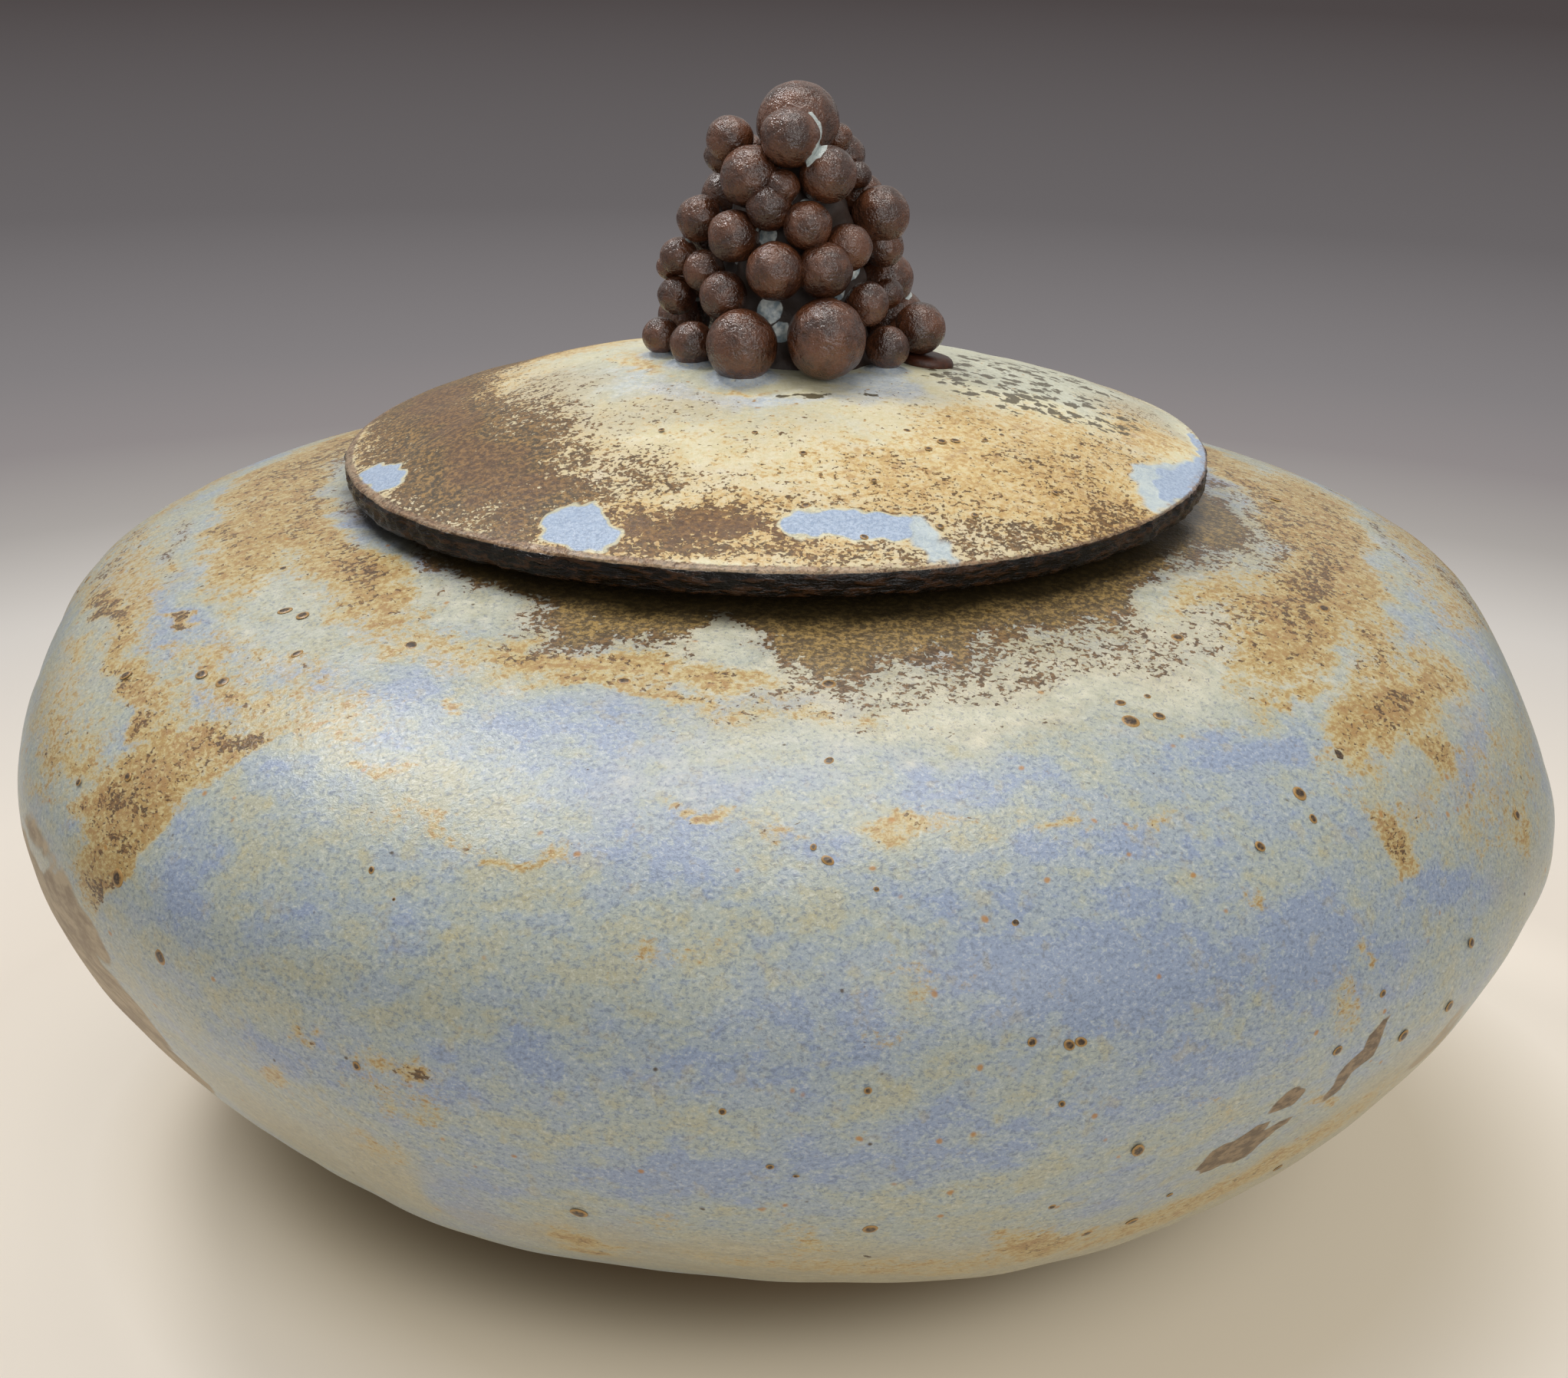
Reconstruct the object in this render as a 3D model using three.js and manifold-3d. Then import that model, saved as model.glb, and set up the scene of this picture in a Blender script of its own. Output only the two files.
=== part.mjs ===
// A wide, low stoneware jar with a loose domed lid, whose knob is a cone of hand-rolled clay balls.
// Millimetres, z up. The table is at z = 0 and the z axis runs through the middle of the belly.

import * as THREE from 'three';
import { mergeVertices } from 'three/addons/utils/BufferGeometryUtils.js';
import Module from 'manifold-3d';

const wasm = await Module();
wasm.setup();

// Body: two bowls joined at the belly, each with its own depth and fullness. The lower bowl's underside
// is lifted off the table by its foot ring.
const BELLY_RADIUS = 125;
const SHOULDER_RISE = 44.3;
const BOWL_DEPTH = 71.9;
const BOWL_LIFT = 0.4;
const BELLY_HEIGHT = BOWL_DEPTH + BOWL_LIFT;
const SHOULDER_FULLNESS = 2.34;
const BOWL_FULLNESS = 2.01;
const WALL = 6;

// Flats paddled into the soft wall. Bearing runs counter-clockwise from +x, tilt is above the level,
// and bite is how far the paddle sank below the round form.
const FLATS = [
  { bearing: -4, tilt: 24, bite: 6.6 },
  { bearing: -35, tilt: 25, bite: 3.5 },
  { bearing: 60, tilt: 24, bite: 3.0 },
  { bearing: 125, tilt: 26, bite: 3.5 },
  { bearing: 187, tilt: 19, bite: 3.9 },
  { bearing: 197, tilt: -19, bite: 3.0 },
  { bearing: -135, tilt: -36, bite: 4.3 },
  { bearing: -96, tilt: -52, bite: 0 },
  { bearing: -53, tilt: -35, bite: 1.7 },
  { bearing: -20, tilt: -35, bite: 5.6 },
  { bearing: 65, tilt: -36, bite: 3.0 },
  { bearing: 115, tilt: -38, bite: 3.5 },
];
const CREASE_SHARPNESS = 30;

// Foot ring, trimmed out of the bowl.
const FOOT_RADIUS = 49;
const FOOT_WIDTH = 7;
const FOOT_FLARE = 2;
const FOOT_BEVEL = 1;
const RECESS_DEPTH = 2.5;

// Mouth and its low bare collar, which the lid rests on. Both sit a little left of the belly's axis.
const MOUTH_OFFSET = -2.9;
const MOUTH_RADIUS = 48;
const COLLAR_WIDTH = 6;
const COLLAR_RISE = 1.17;
const COLLAR_TOP = wallHeight(MOUTH_RADIUS + COLLAR_WIDTH, 0, true) + COLLAR_RISE;
const COLLAR_BEVEL = 1;

// Lid: heights are above its flat seat.
const SEAT_GAP = 0.3;
const LID_RADIUS = 67;
const LID_RIM_TOP = 3.15;
const LID_RIM_DROP = 0.7;
const LID_DOME_RISE = 13.6;
const LID_DOME_FULLNESS = 2.2;
const LID_THICKNESS = 5.5;
const LID_SEAT_INNER = 42;
const LID_VAULT_FULLNESS = 3.4;
const RIM_TUCK = 2.5;
const RIM_UNDERCUT = 1;
const RIM_TILT = 1.2;
const RIM_WAVE = 0.35;

// Locating flange under the lid.
const FLANGE_CLEARANCE = 1.2;
const FLANGE_WIDTH = 3.4;
const FLANGE_DROP = 9;

// Knob: a clay cone carrying pressed-on balls. Heights are above the lid's highest point.
const KNOB_X = 1.6;
const KNOB_Y = 7;
const CONE_FOOT = 15.3;
const CONE_WAIST = 13.4;
const CONE_WAIST_HEIGHT = 9;
const CONE_NECK = 9.8;
const CONE_NECK_HEIGHT = 23;
const CONE_TIP = 4.6;
const CONE_HEIGHT = 30;
const PRESS_GAP = 0.3;
const SLOPE_STEP = 0.5;

// Balls that face the front. Bearing is in degrees round the knob, 0 at the front and 90 at the right;
// reach is from the knob's axis to the ball's centre.
const CROWN_BALLS = [
  { bearing: 90, height: 35.1, reach: 0.5, radius: 6.5 },
  { bearing: -4, height: 34.2, reach: 8.9, radius: 4.7 },
  { bearing: -80, height: 32.7, reach: 9.9, radius: 3.7 },
  { bearing: -95, height: 29.7, reach: 11.0, radius: 2.9 },
  { bearing: 100, height: 32.9, reach: 6.7, radius: 2.4 },
];
const NECK_BALLS = [
  { bearing: -42, height: 27.9, reach: 9.4, radius: 5.0 },
  { bearing: -9, height: 27.0, reach: 10.3, radius: 2.8 },
  { bearing: -18, height: 24.0, reach: 11.1, radius: 3.7 },
  { bearing: 32, height: 28.7, reach: 9.8, radius: 4.5 },
  { bearing: 98, height: 27.1, reach: 10.0, radius: 2.3 },
];
const SHOULDER_BALLS = [
  { bearing: 90, height: 21.3, reach: 13.5, radius: 4.7 },
  { bearing: 90, height: 16.6, reach: 14.1, radius: 3.4 },
  { bearing: -84, height: 20.4, reach: 14.2, radius: 3.8 },
  { bearing: -42, height: 19.4, reach: 13.1, radius: 4.1 },
  { bearing: 11, height: 21.6, reach: 12.2, radius: 3.9 },
  { bearing: 40, height: 18.1, reach: 13.2, radius: 3.8 },
  { bearing: -9, height: 15.2, reach: 14.9, radius: 4.6 },
  { bearing: 20, height: 15.3, reach: 14.8, radius: 4.4 },
];
const WAIST_BALLS = [
  { bearing: -88, height: 14.3, reach: 17.4, radius: 3.1 },
  { bearing: -92, height: 12.3, reach: 18.9, radius: 2.1 },
  { bearing: -72, height: 12.9, reach: 14.1, radius: 3.4 },
  { bearing: -85, height: 8.4, reach: 17.6, radius: 3.2 },
  { bearing: -40, height: 10.8, reach: 15.8, radius: 3.8 },
  { bearing: 47, height: 9.8, reach: 15.9, radius: 3.5 },
  { bearing: 85, height: 9.4, reach: 15.2, radius: 2.5 },
];
const BASE_BALLS = [
  { bearing: 85, height: 4.2, reach: 20.3, radius: 4.2 },
  { bearing: 85, height: 3.4, reach: 17.2, radius: 2.4 },
  { bearing: 59, height: 2.7, reach: 17.5, radius: 3.5 },
  { bearing: 17, height: 5.9, reach: 19.0, radius: 6.2 },
  { bearing: -22, height: 4.4, reach: 18.9, radius: 5.6 },
  { bearing: -58, height: 2.6, reach: 17.5, radius: 3.6 },
  { bearing: -86, height: 2.0, reach: 20.0, radius: 3.1 },
];

// Courses round the back, from one flank to the other, with balls of about one size each.
const BACK_COURSES = [
  { height: 3.0, reach: 18.4, radius: 4.9, count: 5 },
  { height: 9.8, reach: 16.6, radius: 4.2, count: 5 },
  { height: 16.6, reach: 14.0, radius: 4.5, count: 4 },
  { height: 23.2, reach: 12.2, radius: 4.1, count: 4 },
  { height: 29.0, reach: 8.8, radius: 3.9, count: 3 },
  { height: 33.6, reach: 6.6, radius: 3.0, count: 1 },
];
const BACK_START = 100;
const BACK_END = 262;
const SIZE_SPREAD = 0.12;
const SIZE_TURN = 2.4;

// Flattened clay pad under the ball that stands out at the right.
const PAD_BEARING = 87;
const PAD_REACH = 21.6;
const PAD_RADIUS = 4.3;
const PAD_CROWN = 1.6;
const PAD_BEVEL = 0.9;

// Facets round each turned form.
const BODY_COLUMNS = 48;
const BODY_ROWS = 24;
const LINING_COLUMNS = 36;
const LINING_ROWS = 18;
const RING_SIDES = 44;
const DOME_COURSES = 9;
const VAULT_COURSES = 3;
const CONE_SIDES = 26;
const PAD_SIDES = 16;
const LARGE_BALL = 3.8;

const bareClay = new THREE.MeshStandardMaterial({ color: 0x4a352b, roughness: 0.75, metalness: 0 });
const bodyGlaze = new THREE.MeshStandardMaterial({ color: 0xa3b2b4, roughness: 0.45, metalness: 0 });
const lidGlaze = new THREE.MeshStandardMaterial({ color: 0xb29a6e, roughness: 0.4, metalness: 0 });
const coreGlaze = new THREE.MeshStandardMaterial({ color: 0xc3d0d8, roughness: 0.3, metalness: 0 });
const redClay = new THREE.MeshStandardMaterial({ color: 0x4b2417, roughness: 0.6, metalness: 0 });

const radians = THREE.MathUtils.degToRad;

// Merges shared vertices and gives a solid that can be joined and cut.
function solidOf(geometry) {
  geometry.deleteAttribute('normal');
  geometry.deleteAttribute('uv');
  const merged = mergeVertices(geometry, 1e-4);
  const corners = merged.index.array;
  const triangles = [];
  for (let i = 0; i < corners.length; i += 3) {
    const [a, b, c] = [corners[i], corners[i + 1], corners[i + 2]];
    if (a !== b && b !== c && c !== a) triangles.push(a, b, c);
  }
  const vertProperties = new Float32Array(merged.attributes.position.array);
  const triVerts = new Uint32Array(triangles);
  return new wasm.Manifold(new wasm.Mesh({ numProp: 3, vertProperties, triVerts }));
}

function geometryOf(solid) {
  const mesh = solid.getMesh();
  const geometry = new THREE.BufferGeometry();
  geometry.setAttribute('position', new THREE.BufferAttribute(new Float32Array(mesh.vertProperties), 3));
  geometry.setIndex(new THREE.BufferAttribute(new Uint32Array(mesh.triVerts), 1));
  geometry.computeVertexNormals();
  return geometry;
}

function meshOf(solid, name, material) {
  const mesh = new THREE.Mesh(geometryOf(solid), material);
  mesh.name = name;
  return mesh;
}

// Turns a profile of [radius, height] points, listed upwards on its outer side, round the z axis.
function turned(profile, sides) {
  const points = profile.map(([radius, height]) => new THREE.Vector2(radius, height));
  return new THREE.LatheGeometry(points, sides).rotateX(Math.PI / 2);
}

// Unit vector at a bearing counter-clockwise from +x and a tilt above the level.
function heading(bearing, tilt) {
  const level = Math.cos(tilt);
  return new THREE.Vector3(level * Math.cos(bearing), level * Math.sin(bearing), Math.sin(tilt));
}

function norm(a, b, power) {
  return (a ** power + b ** power) ** (1 / power);
}

// Distance from the belly's centre to a plane that just touches the round form.
function roundSupport(direction) {
  const upper = direction.z > 0;
  const fullness = upper ? SHOULDER_FULLNESS : BOWL_FULLNESS;
  const depth = upper ? SHOULDER_RISE : BOWL_DEPTH;
  const across = BELLY_RADIUS * Math.hypot(direction.x, direction.y);
  return norm(across, depth * Math.abs(direction.z), fullness / (fullness - 1));
}

const flats = FLATS.map(({ bearing, tilt, bite }) => {
  const direction = heading(radians(bearing), radians(tilt));
  return { direction, distance: roundSupport(direction) - bite };
});

// Distance from the belly's centre to the paddled wall along a direction, inset for the inner side.
function wallDistance(direction, inset) {
  const upper = direction.z > 0;
  const fullness = upper ? SHOULDER_FULLNESS : BOWL_FULLNESS;
  const depth = (upper ? SHOULDER_RISE : BOWL_DEPTH) - inset;
  const across = Math.hypot(direction.x, direction.y) / (BELLY_RADIUS - inset);
  let sum = norm(across, Math.abs(direction.z) / depth, fullness) ** CREASE_SHARPNESS;
  for (const flat of flats) {
    const facing = Math.max(0, flat.direction.dot(direction));
    sum += (facing / (flat.distance - inset)) ** CREASE_SHARPNESS;
  }
  return sum ** (-1 / CREASE_SHARPNESS);
}

// Closed paddled form, as rows of vertices from the lower pole to the upper one.
function paddledForm(inset, columns, rows) {
  const positions = [];
  const place = (bearing, tilt) => {
    const direction = heading(bearing, tilt);
    const point = direction.multiplyScalar(wallDistance(direction, inset));
    positions.push(point.x, point.y, point.z + BELLY_HEIGHT);
  };
  place(0, -Math.PI / 2);
  for (let row = 1; row < rows; row += 1) {
    const angle = Math.PI * (row / rows - 0.5);
    const depth = angle > 0 ? SHOULDER_RISE : BOWL_DEPTH;
    const tilt = Math.atan2(depth * Math.sin(angle), BELLY_RADIUS * Math.cos(angle));
    for (let column = 0; column < columns; column += 1) place((2 * Math.PI * column) / columns, tilt);
  }
  place(0, Math.PI / 2);
  const geometry = new THREE.BufferGeometry();
  geometry.setAttribute('position', new THREE.Float32BufferAttribute(positions, 3));
  geometry.setIndex(formFaces(columns, rows));
  return solidOf(geometry);
}

function formFaces(columns, rows) {
  const faces = [];
  const vertex = (row, column) => 1 + (row - 1) * columns + (column % columns);
  const top = 1 + (rows - 1) * columns;
  for (let column = 0; column < columns; column += 1) {
    faces.push(0, vertex(1, column + 1), vertex(1, column));
    for (let row = 1; row < rows - 1; row += 1) {
      faces.push(vertex(row, column), vertex(row, column + 1), vertex(row + 1, column + 1));
      faces.push(vertex(row, column), vertex(row + 1, column + 1), vertex(row + 1, column));
    }
    faces.push(vertex(rows - 1, column), vertex(rows - 1, column + 1), top);
  }
  return faces;
}

// Height of the round form's wall above the table at a radius on the bowl or the shoulder.
function wallHeight(radius, inset, upper) {
  const fullness = upper ? SHOULDER_FULLNESS : BOWL_FULLNESS;
  const depth = (upper ? SHOULDER_RISE : -BOWL_DEPTH) - (upper ? inset : -inset);
  const share = radius / (BELLY_RADIUS - inset);
  return BELLY_HEIGHT + depth * (1 - share ** fullness) ** (1 / fullness);
}

// Disc under the bowl that the foot ring is trimmed from, sunk into the wall.
function footBlank() {
  const top = wallHeight(FOOT_RADIUS + FOOT_FLARE, WALL / 2, false);
  const profile = [
    [0, 0],
    [FOOT_RADIUS - FOOT_BEVEL, 0],
    [FOOT_RADIUS, FOOT_BEVEL],
    [FOOT_RADIUS + FOOT_FLARE, top],
    [0, top],
  ];
  return solidOf(turned(profile, RING_SIDES));
}

function footRecess() {
  const inner = FOOT_RADIUS - FOOT_WIDTH;
  const profile = [
    [0, -RECESS_DEPTH],
    [inner + FOOT_BEVEL, -RECESS_DEPTH],
    [inner + FOOT_BEVEL, 0],
    [inner, FOOT_BEVEL],
    [inner - FOOT_BEVEL, RECESS_DEPTH],
    [0, RECESS_DEPTH],
  ];
  return solidOf(turned(profile, RING_SIDES));
}

// Disc on the shoulder that the collar is cut from.
function collarBlank() {
  const outer = MOUTH_RADIUS + COLLAR_WIDTH;
  const root = wallHeight(outer, WALL / 2, true);
  const profile = [
    [0, root],
    [outer + COLLAR_BEVEL, root],
    [outer, COLLAR_TOP - COLLAR_BEVEL],
    [outer - COLLAR_BEVEL, COLLAR_TOP],
    [0, COLLAR_TOP],
  ];
  return solidOf(turned(profile, RING_SIDES)).translate([MOUTH_OFFSET, 0, 0]);
}

function mouthCut() {
  const below = BELLY_HEIGHT + SHOULDER_RISE / 2;
  const profile = [
    [0, below],
    [MOUTH_RADIUS, below],
    [MOUTH_RADIUS, COLLAR_TOP - COLLAR_BEVEL],
    [MOUTH_RADIUS + COLLAR_BEVEL, COLLAR_TOP],
    [MOUTH_RADIUS + COLLAR_BEVEL, COLLAR_TOP + COLLAR_WIDTH],
    [0, COLLAR_TOP + COLLAR_WIDTH],
  ];
  return solidOf(turned(profile, RING_SIDES)).translate([MOUTH_OFFSET, 0, 0]);
}

// One clay wall: the two bowls with the foot ring and the collar, hollow and open at the mouth.
function jarBody() {
  const outside = paddledForm(0, BODY_COLUMNS, BODY_ROWS);
  const lining = paddledForm(WALL, LINING_COLUMNS, LINING_ROWS);
  const blank = outside.add(footBlank()).add(collarBlank());
  return blank.subtract(footRecess()).subtract(lining).subtract(mouthCut());
}

// How far the hand-cut rim stands above or below its true circle.
function rimWave(bearing) {
  return RIM_TILT * Math.cos(bearing) + RIM_WAVE * Math.sin(3 * bearing + 1);
}

// Height of the lid's upper side above its seat, measured at a point from the lid's axis.
function domeHeight(x, y) {
  const share = Math.min(1, Math.hypot(x, y) / LID_RADIUS);
  const wave = share ** 2 * rimWave(Math.atan2(y, x));
  return LID_RIM_TOP + LID_DOME_RISE * (1 - share ** LID_DOME_FULLNESS) + wave;
}

// Profile of the lid from the middle of its hollow underside, round the rim, to the top of the dome.
// The third value is how much of the rim's wave each point takes.
function lidProfile() {
  const rimMiddle = (LID_RIM_TOP - LID_RIM_DROP) / 2;
  const seatOuter = MOUTH_RADIUS + COLLAR_WIDTH + COLLAR_BEVEL;
  const vault = LID_RIM_TOP + LID_DOME_RISE - LID_THICKNESS;
  const profile = [];
  for (let i = 0; i <= VAULT_COURSES; i += 1) {
    const share = Math.sin((Math.PI / 2) * (i / VAULT_COURSES));
    profile.push([LID_SEAT_INNER * share, vault * (1 - share ** LID_VAULT_FULLNESS), 0]);
  }
  profile.push(
    [seatOuter, 0, 0],
    [LID_RADIUS - RIM_TUCK, -LID_RIM_DROP / 2, 1],
    [LID_RADIUS - RIM_UNDERCUT, -LID_RIM_DROP, 1],
    [LID_RADIUS - RIM_UNDERCUT / 3, rimMiddle, 1],
    [LID_RADIUS, LID_RIM_TOP - RIM_UNDERCUT, 1],
  );
  for (let i = DOME_COURSES - 1; i >= 0; i -= 1) {
    const share = Math.sin((Math.PI / 2) * (i / DOME_COURSES));
    profile.push([LID_RADIUS * share, LID_RIM_TOP + LID_DOME_RISE * (1 - share ** LID_DOME_FULLNESS), share ** 2]);
  }
  return profile;
}

function lidDome() {
  const profile = lidProfile();
  const geometry = turned(profile, RING_SIDES);
  const position = geometry.attributes.position;
  for (let i = 0; i < position.count; i += 1) {
    const share = profile[i % profile.length][2];
    const wave = share * rimWave(Math.atan2(position.getY(i), position.getX(i)));
    position.setZ(i, position.getZ(i) + wave);
  }
  return solidOf(geometry);
}

function lidFlange() {
  const outer = MOUTH_RADIUS - FLANGE_CLEARANCE;
  const inner = outer - FLANGE_WIDTH;
  const top = -PRESS_GAP;
  const bottom = -FLANGE_DROP;
  const soft = FLANGE_WIDTH / 4;
  const profile = [
    [inner, bottom + soft],
    [inner + soft, bottom],
    [outer - soft, bottom],
    [outer, bottom + soft],
    [outer, top],
    [inner, top],
    [inner, bottom + soft],
  ];
  return solidOf(turned(profile, RING_SIDES));
}

const CONE_PROFILE = [
  [CONE_FOOT, 0],
  [CONE_WAIST, CONE_WAIST_HEIGHT],
  [CONE_NECK, CONE_NECK_HEIGHT],
  [CONE_TIP, CONE_HEIGHT],
  [0, CONE_HEIGHT],
];

// Half-space outside the cone that holds the most of a ball: the cone lies wholly behind it.
function coneTangent(centre) {
  const reach = Math.hypot(centre.x, centre.y);
  const around = Math.atan2(centre.y, centre.x);
  let best = null;
  for (let i = 0; i + 1 < CONE_PROFILE.length; i += 1) {
    const [r0, z0] = CONE_PROFILE[i];
    const [r1, z1] = CONE_PROFILE[i + 1];
    const normal = new THREE.Vector2(z1 - z0, r0 - r1).normalize();
    const offset = normal.x * r0 + normal.y * z0;
    const clear = normal.x * reach + normal.y * centre.z - offset;
    if (best === null || clear > best.clear) best = { normal, offset, clear };
  }
  const { normal, offset } = best;
  const outward = new THREE.Vector3(normal.x * Math.cos(around), normal.x * Math.sin(around), normal.y);
  return { outward, offset: offset + PRESS_GAP / 2 };
}

// Height of the dome above its highest point, at a place measured from the knob's axis.
function seatHeight(x, y) {
  return domeHeight(KNOB_X + x, KNOB_Y + y) - LID_RIM_TOP - LID_DOME_RISE;
}

// Half-space above the dome's tangent plane under a point.
function domeTangent(centre) {
  const height = seatHeight(centre.x, centre.y);
  const slopeX = (seatHeight(centre.x + SLOPE_STEP, centre.y) - height) / SLOPE_STEP;
  const slopeY = (seatHeight(centre.x, centre.y + SLOPE_STEP) - height) / SLOPE_STEP;
  const outward = new THREE.Vector3(-slopeX, -slopeY, 1).normalize();
  const foot = new THREE.Vector3(centre.x, centre.y, height);
  return { outward, offset: outward.dot(foot) + PRESS_GAP };
}

// Half-space on this ball's side of the flat where it is pressed against a neighbour.
function contactPlane(ball, other) {
  const outward = ball.centre.clone().sub(other.centre);
  const distance = outward.length();
  outward.divideScalar(distance);
  const fromOther = (distance ** 2 + other.radius ** 2 - ball.radius ** 2) / (2 * distance);
  return { outward, offset: outward.dot(other.centre) + fromOther + PRESS_GAP / 2 };
}

function ballAt({ bearing, height, reach, radius }) {
  const angle = radians(bearing);
  const centre = new THREE.Vector3(reach * Math.sin(angle), -reach * Math.cos(angle), height);
  return { centre, radius };
}

function backBalls() {
  const balls = [];
  for (const { height, reach, radius, count } of BACK_COURSES) {
    for (let i = 0; i < count; i += 1) {
      const bearing = BACK_START + ((BACK_END - BACK_START) * (i + 0.5)) / count;
      const swell = 1 + SIZE_SPREAD * Math.cos(SIZE_TURN * balls.length);
      balls.push(ballAt({ bearing, height, reach, radius: radius * swell }));
    }
  }
  return balls;
}

function trimmed(solid, planes, centre) {
  let result = solid;
  for (const { outward, offset } of planes) {
    result = result.trimByPlane([outward.x, outward.y, outward.z], offset - outward.dot(centre));
  }
  return result;
}

// One ball, flattened where it is pressed on the cone, on the lid and on its neighbours.
function ballMesh(ball, others, name, faceted) {
  const planes = [coneTangent(ball.centre), domeTangent(ball.centre)];
  for (const other of others) {
    const distance = ball.centre.distanceTo(other.centre);
    if (distance < ball.radius + other.radius + PRESS_GAP) planes.push(contactPlane(ball, other));
  }
  const geometry = new THREE.IcosahedronGeometry(ball.radius, faceted);
  const mesh = meshOf(trimmed(solidOf(geometry), planes, ball.centre), name, bareClay);
  mesh.position.copy(ball.centre);
  return mesh;
}

// The lid as a cutter, raised by the gap that pressed pieces keep.
function raisedLid(lid) {
  return lid.translate([-KNOB_X, -KNOB_Y, PRESS_GAP - LID_RIM_TOP - LID_DOME_RISE]);
}

function knobCore(lid) {
  const root = -LID_THICKNESS / 2;
  const profile = [[0, root], [CONE_FOOT, root], ...CONE_PROFILE];
  return solidOf(turned(profile, CONE_SIDES)).subtract(raisedLid(lid));
}

// Squashed disc of clay on the dome, cut away where the ball above is pressed into it.
function padMesh(balls) {
  const angle = radians(PAD_BEARING);
  const centre = new THREE.Vector3(PAD_REACH * Math.sin(angle), -PAD_REACH * Math.cos(angle), 0);
  centre.z = seatHeight(centre.x, centre.y);
  const profile = [
    [0, -PAD_CROWN],
    [PAD_RADIUS, -PAD_CROWN],
    [PAD_RADIUS, PAD_CROWN - PAD_BEVEL],
    [PAD_RADIUS - PAD_BEVEL, PAD_CROWN],
    [0, PAD_CROWN],
  ];
  let solid = trimmed(solidOf(turned(profile, PAD_SIDES)), [domeTangent(centre)], centre);
  for (const { centre: above, radius } of balls) {
    if (above.distanceTo(centre) > radius + PAD_RADIUS + PAD_CROWN) continue;
    const dent = solidOf(new THREE.IcosahedronGeometry(radius + PRESS_GAP, 2));
    solid = solid.subtract(dent.translate(above.clone().sub(centre).toArray()));
  }
  const mesh = meshOf(solid, 'knob_foot_pad', redClay);
  mesh.position.copy(centre);
  return mesh;
}

function knob(lid) {
  const group = new THREE.Group();
  group.position.set(KNOB_X, KNOB_Y, LID_RIM_TOP + LID_DOME_RISE);
  group.add(meshOf(knobCore(lid), 'knob_core', coreGlaze));
  const front = [...CROWN_BALLS, ...NECK_BALLS, ...SHOULDER_BALLS, ...WAIST_BALLS, ...BASE_BALLS].map(ballAt);
  const balls = [...front, ...backBalls()];
  balls.forEach((ball, i) => {
    const others = balls.filter((other) => other !== ball);
    const faceted = i < front.length && ball.radius > LARGE_BALL ? 2 : 1;
    group.add(ballMesh(ball, others, `knob_ball_${String(i + 1).padStart(2, '0')}`, faceted));
  });
  group.add(padMesh(balls));
  return group;
}

function lidGroup() {
  const group = new THREE.Group();
  group.position.set(MOUTH_OFFSET, 0, COLLAR_TOP + SEAT_GAP);
  const dome = lidDome();
  group.add(meshOf(dome, 'lid_dome', lidGlaze));
  group.add(meshOf(lidFlange(), 'lid_flange', bareClay));
  group.add(knob(dome));
  return group;
}

const group = new THREE.Group();
group.add(meshOf(jarBody(), 'jar_body', bodyGlaze));
group.add(lidGroup());

export default group;
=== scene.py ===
import math

import bpy
import numpy as np
from mathutils import Matrix, Vector


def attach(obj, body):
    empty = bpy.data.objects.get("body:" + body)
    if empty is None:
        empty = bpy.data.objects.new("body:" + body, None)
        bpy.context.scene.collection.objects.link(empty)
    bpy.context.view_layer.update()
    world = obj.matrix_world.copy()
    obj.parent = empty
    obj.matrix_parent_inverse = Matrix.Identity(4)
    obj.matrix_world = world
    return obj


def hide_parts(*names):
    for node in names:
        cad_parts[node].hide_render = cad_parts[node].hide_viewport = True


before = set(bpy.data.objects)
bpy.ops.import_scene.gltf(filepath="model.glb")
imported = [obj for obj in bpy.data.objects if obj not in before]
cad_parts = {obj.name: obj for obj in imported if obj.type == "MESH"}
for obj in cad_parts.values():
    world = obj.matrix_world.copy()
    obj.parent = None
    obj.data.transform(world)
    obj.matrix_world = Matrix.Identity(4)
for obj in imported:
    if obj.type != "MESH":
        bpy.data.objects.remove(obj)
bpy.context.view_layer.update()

# Lengths below are millimetres and angles are degrees, unless a name or comment says otherwise.
MM = 0.001

# Body: two bowls joined at the belly, with flats paddled into them.
BELLY_RADIUS = 125
BELLY_HEIGHT = 72.3
SHOULDER_RISE = 44.3
BOWL_DEPTH = 71.9
SHOULDER_FULLNESS = 2.34
BOWL_FULLNESS = 2.01
WALL = 6
CREASE_SHARPNESS = 30
# Bearing counter-clockwise from +x, tilt above the level, and bite below the round form.
FLATS = (
    (-4, 24, 6.6), (-35, 25, 3.5), (60, 24, 3.0), (125, 26, 3.5), (187, 19, 3.9), (197, -19, 3.0),
    (-135, -36, 4.3), (-96, -52, 0), (-53, -35, 1.7), (-20, -35, 5.6), (65, -36, 3.0), (115, -38, 3.5),
)
HAND_SWELL = 0.3
HAND_SWELL_LENGTH = 44
THROWING_LENGTH = 13

# Foot ring and mouth.
FOOT_TOP_RADIUS = 51
MOUTH_OFFSET = -2.9
MOUTH_RADIUS = 48
COLLAR_OUTER = 54.6

# Lid, with heights above its seat.
LID_SEAT = 115.3
LID_PLACE = np.array([MOUTH_OFFSET, 0, LID_SEAT])
LID_RADIUS = 67
LID_RIM_TOP = 3.15
LID_DOME_RISE = 13.6
LID_DOME_FULLNESS = 2.2
RIM_TILT = 1.2
RIM_WAVE = 0.35

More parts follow.
